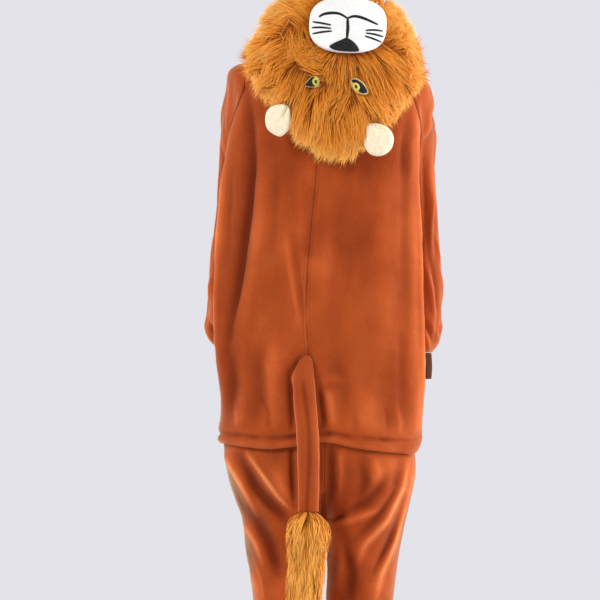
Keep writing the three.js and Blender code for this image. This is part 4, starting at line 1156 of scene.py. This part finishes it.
def stitched_line(name, points, width, lift_of, material, steps=40):
    """A satin-stitched line on the face: a low rounded bar along a smooth curve."""
    px, pz = np.array(points, float).T
    s = np.linspace(0, len(points) - 1, steps)
    rows = {"x": px, "z": pz}
    x, z = along(rows, "x", s), along(rows, "z", s)
    dx, dz = np.gradient(x), np.gradient(z)
    size = np.hypot(dx, dz)
    nx, nz = -dz / size, dx / size
    taper = width * (0.35 + 0.65 * np.sqrt(np.sin(np.pi * np.linspace(0.04, 0.96, steps))))
    profile = [(-1, -0.6), (-0.8, 0.5), (0, 0.95), (0.8, 0.5), (1, -0.6)]
    rings = []
    for side, up in profile:
        qx, qz = x + nx * taper * side / 2, z + nz * taper * side / 2
        rings.append(seen_at(qx, qz, lift_of, up))
    points = np.stack(rings, 1).reshape(-1, 3)
    piece = new_mesh(name, points, tube_faces(steps, len(profile)), material)


def closed_curve(pixels, sides):
    """Places round a smooth closed curve through an outline's pixels, always the same way round."""
    px, pz = np.array(at_px(*pixels)).T
    count = len(px)
    wrapped = np.arange(-2, count + 3) % count
    loop = {"x": px[wrapped], "z": pz[wrapped]}
    s = np.linspace(2, 2 + count, sides + 1)[:-1]
    x, z = along(loop, "x", s), along(loop, "z", s)
    if (x * np.roll(z, -1) - np.roll(x, -1) * z).sum() < 0:
        x, z = x[::-1], z[::-1]
    return x, z


def patch_from(name, outline, lift_of, rise, material, sink=2.4, rings=7, sides=60):
    """A low cushioned patch with an outline on the hood's face."""
    x, z = closed_curve(outline, sides)
    mx, mz = x.mean(), z.mean()

    def ring(share, height):
        qx, qz = mx + (x - mx) * share, mz + (z - mz) * share
        return seen_at(qx, qz, lift_of, height)

    shares = np.sin(np.linspace(0.08, 0.5, rings) * np.pi)
    stack = [ring(sh, -sink) for sh in shares[::2]] + [ring(1.0, 0.0)]
    stack += [ring(sh, rise * (0.25 + 0.75 * math.sqrt(max(0, 1 - sh * sh)))) for sh in shares[::-1]]
    return ring_bodies(name, [np.stack(stack)], material)


# The face's drawings, in the photograph's pixels
MOUTHS = {
    "mouth_left": ((319, 16.8), (323, 14.4), (327, 13.4), (333, 12.9), (340, 13.9), (347.6, 18.2)),
    "mouth_right": ((347.6, 18.2), (353, 16.3), (358, 16.6), (363, 18), (369, 20.4), (378, 24.6)),
    "mouth_middle": ((347.6, 18), (347.8, 24), (347.6, 31), (346.8, 38.8)),
}
WHISKERS = [
    ((312.7, 21.8), (322, 23.2), (331, 25)), ((311.7, 27.6), (321, 27.4), (331, 28.3)),
    ((312.4, 33.8), (322, 32), (331.8, 31)), ((365.7, 30.4), (374, 30), (383, 31)),
    ((366, 33), (375, 34.4), (383.7, 36.9)), ((365, 36), (373, 38.6), (381.7, 42.2)),
]
MOUTH_WIDTH, WHISKER_WIDTH = 6.4, 4.6
NOSE_OUTLINE = [
    (346.6, 37.8), (342, 39.4), (336, 42), (331, 44.6), (329.4, 46.6), (332, 49), (338, 50.8),
    (345, 51.6), (352, 51.8), (358, 51.6), (359, 49.6), (356.6, 45), (352, 40.4),
]
EYES = {
    "eye_left": {
        "rim": [(304, 84.5), (306.5, 80.5), (311, 76.5), (316, 75.2), (319.6, 78), (320.4, 83.5),
                (318, 87.6), (312, 88), (306.5, 87.2)],
        "black": [(304.4, 85), (307.4, 81), (311, 77.2), (314.6, 75.8), (314, 79.4), (312.4, 82),
                  (312.6, 84.6), (315.4, 86.8), (309, 87)],
        "iris": [(313, 78.8), (315.8, 76.8), (318.4, 79), (319, 83), (316.6, 86), (313.6, 84.8),
                 (312.4, 81.8)],
        "pupil": [(315, 80), (317, 79.6), (317.8, 82), (316.4, 84), (314.8, 82.6)],
    },
    "eye_right": {
        "rim": [(350, 79.6), (353, 77.6), (358, 78), (363.6, 82), (367.6, 87.6), (369.4, 93),
                (366, 95.6), (359, 94.6), (353, 90.4), (350.2, 84.6)],
        "black": [(350.8, 80), (354, 78.6), (359, 80.4), (364, 84.6), (367.4, 89.6), (368, 93), (363, 94),
                  (358.4, 91.6), (359.6, 87.6), (357, 84), (353.2, 82.8)],
        "iris": [(351.8, 84), (354.6, 82.2), (357.8, 83.4), (359.8, 86.6), (359.2, 90), (356.4, 91),
                 (353.4, 88.6)],
        "pupil": [(354, 85.4), (356, 84.6), (357.4, 86.6), (356.8, 88.8), (354.8, 88)],
    },
}
EYE_SHARE = 0.9  # of the size that the eyes' outlines are drawn at
# An eye's layers: material, slot, rise, lift off the hood, depth of the back
EYE_LAYERS = {
    "rim": (PALE, "yellow_stitch", 1.2, -3.6, 6.0), "black": (BLACK, "black_stitch", 1.6, -2.7, 2.4),
    "iris": (YELLOW, "yellow_stitch", 1.8, -1.5, 2.4), "pupil": (GREEN, "black_stitch", 1.6, -0.2, 2.4),
}


def make_muzzle():
    """The padded muzzle, with a dimple where its middle is drawn in."""
    def dimple(u, w):
        return -1.2 * bell(u, 0, 0.05) * ease((0.2 - w) / 0.3) * ease((w + 0.55) / 0.3)

    muzzle = pad("muzzle_plush", MUZZLE, 18, 72, WHITE, 10.0, dimple)
    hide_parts("muzzle")


def make_mouth_and_whiskers():
    for name, pixels in MOUTHS.items():
        stitched_line(name, at_px(*pixels), MOUTH_WIDTH, muzzle_lift, BLACK)
    for number, pixels in enumerate(WHISKERS, 1):
        stitched_line(f"whisker_{number}", at_px(*pixels), WHISKER_WIDTH, muzzle_lift, BLACK, 24)


def make_nose():
    nose = patch_from("nose_satin", NOSE_OUTLINE, muzzle_lift, 4.0, BLACK)
    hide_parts("nose")


def make_eyes():
    """Embroidered eyes: four layers that each lie a little over the one before."""
    for name, layers in EYES.items():
        middle = np.mean(layers["rim"], 0)
        for layer, pixels in layers.items():
            material, slot, rise, lift, sink = EYE_LAYERS[layer]
            outline = mix(middle, np.array(pixels), EYE_SHARE)

            def lift_of(x, z, up=lift):
                return np.full(x.shape, up)

            piece = patch_from(f"{name}_{layer}", outline, lift_of, rise, material, sink)
            if layer == "rim":
                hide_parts(name)


# Ears: outline in the photograph's pixels, and the pinched fold from its outer end to its inner end
EARS = {
    "ear_left": {
        "outline": [(266.6, 112), (271, 107), (278, 104.6), (285.6, 105), (290, 110), (291.4, 121),
                    (288.4, 130), (281.6, 136.2), (275, 135), (267.4, 129), (265.2, 120)],
        "pinch": ((289, 106), (281, 124)), "depth": 11.0, "thick": 10.0,
    },
    "ear_right": {
        "outline": [(365, 125), (372, 123.2), (381, 124.2), (389, 128.6), (393.6, 136.6), (392.4, 146.6),
                    (386.4, 153.6), (377.6, 156.2), (369, 153.2), (364, 144.6), (363.6, 133.6)],
        "pinch": ((371, 125), (386, 133)), "depth": 10.0, "thick": 10.5,
    },
}


def make_ears():
    """Round plush ears: stuffed discs pinched where they are sewn on."""
    sides, rings = 64, 14
    for name, spec in EARS.items():
        x, z = closed_curve(spec["outline"], sides)
        middle = on_hood(x.mean(), z.mean(), np.array(2.0))
        nearer = (CAMERA_AWAY + middle[1]) / (CAMERA_AWAY + PLANE_Y)
        x, z = CAMERA_X + (x - CAMERA_X) * nearer, CAMERA_Z + (z - CAMERA_Z) * nearer
        mx, mz = x.mean(), z.mean()
        turn, v = hood_under(mx, mz)
        face = unit(hood_normal(turn, v) * 0.45 + np.array([0, -1.0, 0]))
        pinch = at_px(*spec["pinch"])

        def place(share, height):
            qx, qz = mx + (x - mx) * share, mz + (z - mz) * share
            run, near = beside(qx, qz, *pinch)
            dent = spec["depth"] * bell(near, 0, 3.4) * (1 - 0.7 * run)
            soft = 0.7 * np.sin(qx * 0.16 + qz * 0.1) + 0.5 * np.sin(qz * 0.22 - qx * 0.07)
            lift = np.where(height > 0, height - dent + soft, height)
            depth = middle[1] - ((qx - middle[0]) * face[0] + (qz - middle[2]) * face[2]) / face[1]
            across, up = qx + face[0] * lift * 0.3, qz + face[2] * lift * 0.3
            return np.stack([across, depth + face[1] * lift, up], -1)

        shares = np.sin(np.linspace(0.05, 0.5, rings) * np.pi)
        lifts = np.sqrt(np.clip(1 - shares ** 2.6, 0, 1)) * spec["thick"]
        stack = [place(a, -b * 0.75) for a, b in zip(shares, lifts)]
        stack += [place(a, b) for a, b in zip(shares[-2::-1], lifts[-2::-1])]
        piece = ring_bodies(f"{name}_plush", [np.stack(stack)], CREAM)
        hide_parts(name)


# The tail


def make_tail():
    """The flattened tail with its middle crease and the elbow near its root."""
    angle, row = np.meshgrid(turns_round(56), np.linspace(0, 6, 110), indexing="ij")
    x, y, z = (along(TAIL, c, row) for c in ("x", "y", "z"))
    wide, deep = along(TAIL, "wide", row), along(TAIL, "deep", row)
    flat = squared_off(np.cos(angle), 0.85)
    soft = 0.35 * np.sin(z * 0.05 + angle) + 0.2 * np.sin(z * 0.13 - 2 * angle)
    middle = 2.6 * bell(np.cos(angle) + 0.12 * np.sin(z * 0.02), 0, 0.16) * ease((row - 1.2) / 1)
    left_side = bell(np.cos(angle), -1, 0.3)
    elbow = 4.6 * bell(z, -598, 13) * left_side
    notch = 1.5 * bell(z, -622, 9) * left_side
    # A painted highlight along both sides: this lift goes only into the colour, not the shape.
    edge = 6 * ease((np.abs(np.cos(angle)) - 0.86) / 0.1) * ease((row - 1) / 1)
    wide = (wide + soft + elbow - notch - 0.4) * mix(0.45, 1, ease(row / 0.5))
    deep = deep + soft - middle
    grid = np.stack([x + wide * flat, y + deep * np.sin(angle), z], -1)
    # The relief paints the colour: painted shade in the middle crease, a painted highlight at the elbow and
    # along the sides.
    relief = elbow - middle * 2.2 + soft + edge
    cloth_piece("tail", grid, -1, closed=True, relief=relief)


# The tuft's outline from its top down: distance below the tail's end, its middle, and its half-width
TUFT_SHAPE = table("down middle reach", [
    (-6, -2, 24), (2, -1, 33), (14, 0, 36), (39, -1, 41), (62, -1, 41), (76, -3, 36.5), (99, -4, 34),
    (129, -5, 33), (174, -7, 31), (205, -8, 29), (235, -8, 20), (262, -8, 5),
])


def make_tuft():
    """The tuft: layered clumps of fur that stand out from the tail's end and hang down along a core."""
    count = TUFT_STRANDS
    down = 225 * rng.random(count) ** 0.85
    angle = rng.uniform(0, 2 * np.pi, count)
    core = 15 * np.sqrt(np.clip(1 - (down / 250) ** 2, 0.05, 1))
    out = np.stack([np.cos(angle), np.sin(angle) * 0.8, np.zeros(count)], 1)
    roots = np.array(TUFT) + out * core[:, None] - np.multiply.outer(down, [0, 0, 1])
    group, centres = clumped(TUFT_CLUMPS, roots)
    length = rng.uniform(34, 66, count)
    length = np.minimum(length, np.maximum(262 - down, 12))
    flare = rng.uniform(0.22, 0.62, count) * rng.uniform(0.7, 1.25, len(centres))[group]
    crown = np.exp(-down / 12)
    swirl = rng.normal(0, 0.16, (len(centres), 3))[group] + rng.normal(0, 0.06, (count, 3))
    lean = unit(out * flare[:, None] + np.array([0, 0, -0.85]) + swirl)
    t = np.linspace(0, 1, 6)[None, :, None]
    reach = length[:, None, None]
    path = roots[:, None] + lean[:, None] * reach * t
    path = path + out[:, None] * reach * 0.3 * (t - t * t)
    path = path + (out * 13 * crown[:, None])[:, None] * (1 - (1 - t) ** 4)
    heart = (centres[group] - roots) * 0.6
    path = path + heart[:, None] * t ** 1.6
    rel = path - np.array(TUFT)
    limit = np.interp(-rel[..., 2], TUFT_SHAPE["down"], TUFT_SHAPE["reach"])
    limit = limit * (1 + rng.normal(0, 0.09, (count, 1)))
    middle = np.interp(-rel[..., 2], TUFT_SHAPE["down"], TUFT_SHAPE["middle"])
    across = np.hypot(rel[..., 0], rel[..., 1] * 1.15)
    scale = np.minimum(1, limit / np.maximum(across, 1e-6))
    path[..., :2] = np.array(TUFT)[:2] + rel[..., :2] * scale[..., None]
    path[..., 0] += middle
    shade = 0.5 * rng.random(count) + 0.4 * rng.random(len(centres))[group]
    piece = blades("tuft_fur", path, out, rng.uniform(1.0, 1.8, count), shade, TUFT_FUR)
    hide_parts("tail_tuft")


def make_tuft_core():
    """The plain backing that the tuft's fur grows from."""
    angle = -turns_round(TUFT_CORE_SIDES)
    rings = []
    for share in np.linspace(0.03, 0.97, TUFT_CORE_RINGS):
        size = math.sin(math.pi * share) ** 0.6
        rings.append(np.stack([
            TUFT[0] - 7 * share + 15 * size * np.cos(angle), TUFT[1] + 12 * size * np.sin(angle),
            np.full(TUFT_CORE_SIDES, TUFT[2] - 0.5 - share * 205),
        ], 1))
    faces = tube_faces(TUFT_CORE_RINGS, TUFT_CORE_SIDES)
    core = new_mesh("tuft_core", np.concatenate(rings), faces, SKIN)


# The front closing


def front_point(x, row, off):
    """A point beside the front's middle, off the panels."""
    turn = 180 - np.degrees(x / along(BODY, "front", row))
    turn = np.where(turn > 180, turn - 360, turn)
    point = body(turn, row, 0.0)
    point[..., 1] += off
    return point


def make_closing():
    """The placket, with a shallow line of stitching along both edges."""
    x, row = np.meshgrid(np.linspace(-17, 17, 12), np.linspace(0.6, 14.4, 160), indexing="ij")
    off = 3.2 - 0.5 * bell(np.abs(x), 13, 1.4)
    grid = front_point(x, row, off)
    cloth_piece("placket", grid, -1)


# Half of a button's section, from its back to its front: radius, height
BUTTON_PROFILE = [
    (9.6, 0.2), (10.7, 0.8), (11, 1.6), (11, 2.6), (10.5, 3.6), (9.3, 4.0), (8, 3.7), (7.2, 2.9), (3, 2.7),
]
BUTTON_HOLE = {"away": 2.0, "radius": 1.15, "rise": 0.06}
BUTTON_THREAD = {"radius": 0.6, "arch": 0.5, "steps": 7}


def make_buttons():
    """Turned buttons with a raised rim, four holes and thread across them."""
    turns = turns_round(48)
    few = turns[::4]
    for number in range(1, 6):
        name = f"button_{number}"
        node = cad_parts[name]
        corners = np.array([node.matrix_world @ corner.co for corner in node.data.vertices]) / MM
        middle = corners.mean(0)
        axis = np.linalg.svd(corners - middle, full_matrices=False)[2][2]
        axis = axis * np.sign(axis[1])
        side = unit(np.cross([0, 0, 1], axis))
        up = np.cross(axis, side)
        foot = middle - axis * 2

        def at(a, b, height):
            flat = foot + np.multiply.outer(a, side) + np.multiply.outer(b, up)
            return flat + np.multiply.outer(height, axis)

        body_rings = [at(r * np.cos(turns), r * np.sin(turns), h + 0 * turns) for r, h in BUTTON_PROFILE]
        piece = ring_bodies(f"{name}_turned", [np.stack(body_rings)], BUTTON)
        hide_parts(name)
        floor = BUTTON_PROFILE[-1][1]
        away, radius = BUTTON_HOLE["away"], BUTTON_HOLE["radius"]
        holes, threads = [], []
        for b in (-away, away):
            for a in (-away, away):
                holes.append(np.stack([
                    at(a + radius * np.cos(few), b + radius * np.sin(few), floor + lift + 0 * few)
                    for lift in (-0.5, BUTTON_HOLE["rise"])
                ]))
            share = np.linspace(0, 1, BUTTON_THREAD["steps"])
            size = BUTTON_THREAD["radius"]
            threads.append(np.stack([
                at(mix(-away, away, s) + 0 * few, b + size * np.cos(few),
                   floor + BUTTON_THREAD["arch"] * math.sin(math.pi * s) + size * np.sin(few))
                for s in share
            ]))
        ring_bodies(f"{name}_holes", holes, BLACK)
        ring_bodies(f"{name}_thread", threads, THREAD)


def seam_stitches(name, points, length=4.2, gap=2.2, width=0.9):
    """A row of short stitches along a seam, as one mesh of rounded bars."""
    normals = unit(points * np.array([1, 1, 0]))
    steps = np.linalg.norm(np.diff(points, axis=0), axis=1)
    run = np.concatenate([[0], np.cumsum(steps)])

    def at_run(where, values):
        return np.array([np.interp(where, run, values[:, k]) for k in range(3)])

    starts = np.arange(2, run[-1] - length - 2, length + gap)
    ring = turns_round(STITCH_SIDES)
    all_points, faces = [], []
    for start in starts:
        ends = []
        for share in (0, 0.5, 1):
            where = start + share * length
            p, n, q = at_run(where, points), at_run(where, normals), at_run(where + 0.5, points)
            s = np.cross(unit(q - p), n)
            size = width * (1.0 if share == 0.5 else 0.5)
            rim = np.outer(np.cos(ring), s) * size / 2 + np.outer(np.sin(ring), n) * size / 2
            ends.append(p + n * 0.25 + rim)
        faces += tube_faces(3, STITCH_SIDES, len(all_points) * 3 * STITCH_SIDES)
        all_points.append(np.concatenate(ends))
    piece = new_mesh(name, np.concatenate(all_points), faces, THREAD)


def make_stitching():
    """Top stitching beside the centre back seam and round the hem."""
    rows = np.linspace(2.6, 15.6, 500)
    for name, shift in (("stitch_back_left", -2.4), ("stitch_back_right", 2.4)):
        seam_stitches(name, body(seam_turn(rows) + shift, rows))
    turns = np.linspace(-96, 96, 700)
    seam_stitches("stitch_hem", body(turns, np.full_like(turns, 1.32)))


# Camera, stage and lights: each light's place, aim, size, power and colour

LIGHTS = {
    "key": ((-2.3, -3.0, 1.6), (0, 0, -0.5), (0.9, 1.5), 96, (1, 0.975, 0.93)),
    "fill": ((2.8, -2.0, 0.4), (0, 0, -0.4), (0.9, 2.0), 42, (1, 0.98, 0.95)),
    "rim_left": ((-2.3, 0.7, 0.3), (0, 0, -0.4), (0.8, 2.2), 34, (1, 0.98, 0.94)),
    "rim_right": ((2.4, 0.5, 0.3), (0, 0, -0.4), (0.8, 2.2), 84, (1, 0.98, 0.94)),
}
FLOOR_Z, FLOOR_HALF = -1.375, 3  # in metres


def area_light(name, place, aim, size, power, colour):
    light = bpy.data.lights.new(name, "AREA")
    light.shape = "RECTANGLE"
    light.size, light.size_y = size
    light.energy = power
    light.color = colour
    holder = bpy.data.objects.new(name, light)
    holder.location = place
    direction = np.array(aim) - np.array(place)
    holder.rotation_euler = Vector(direction).to_track_quat("-Z", "Y").to_euler()
    bpy.context.scene.collection.objects.link(holder)


def make_camera():
    camera = bpy.data.cameras.new("camera")
    camera.sensor_width = 36
    camera.lens = 36 * (CAMERA_AWAY + PLANE_Y) / FRAME_SIDE
    camera.clip_end = 100
    holder = bpy.data.objects.new("camera", camera)
    holder.location = (CAMERA_X * MM, -CAMERA_AWAY * MM, CAMERA_Z * MM)
    holder.rotation_euler = (math.pi / 2, 0, 0)
    bpy.context.scene.collection.objects.link(holder)
    bpy.context.scene.camera = holder


def make_world():
    """A plain backdrop for the camera and a softer light for the cloth."""
    world = bpy.context.scene.world or bpy.data.worlds.new("world")
    bpy.context.scene.world = world
    world.use_nodes = True
    background = world.node_tree.nodes["Background"]
    background.inputs["Color"].default_value = (0.775, 0.768, 0.82, 1)
    background.inputs["Strength"].default_value = 1.0
    nodes, links = world.node_tree.nodes, world.node_tree.links
    soft = nodes.new("ShaderNodeBackground")
    soft.inputs["Color"].default_value = (1, 0.985, 0.97, 1)
    soft.inputs["Strength"].default_value = 0.34
    path, either = nodes.new("ShaderNodeLightPath"), nodes.new("ShaderNodeMixShader")
    links.new(path.outputs["Is Camera Ray"], either.inputs[0])
    links.new(soft.outputs[0], either.inputs[1])
    links.new(background.outputs[0], either.inputs[2])
    links.new(either.outputs[0], nodes["World Output"].inputs["Surface"])


def make_floor():
    mesh = bpy.data.meshes.new("floor")
    corners = [(-1, -1), (1, -1), (1, 1), (-1, 1)]
    mesh.from_pydata([(a * FLOOR_HALF, b * FLOOR_HALF, FLOOR_Z) for a, b in corners], [], [(0, 1, 2, 3)])
    floor = bpy.data.objects.new("floor", mesh)
    material, shader = new_material("floor", 0.9)
    shader.inputs["Base Color"].default_value = (0.8, 0.79, 0.84, 1)
    mesh.materials.append(material)
    bpy.context.scene.collection.objects.link(floor)


make_camera()
make_world()
make_floor()
for light_name, light_row in LIGHTS.items():
    area_light(light_name, *light_row)
bpy.context.scene.view_settings.view_transform = "Standard"
make_panels()
make_sleeves()
make_legs()
make_shaded_strip()
make_cuffs()
make_hood_skin()
make_mane()
make_muzzle()
make_mouth_and_whiskers()
make_nose()
make_eyes()
make_ears()
make_tail()
make_tuft()
make_tuft_core()
make_closing()
make_buttons()
make_stitching()
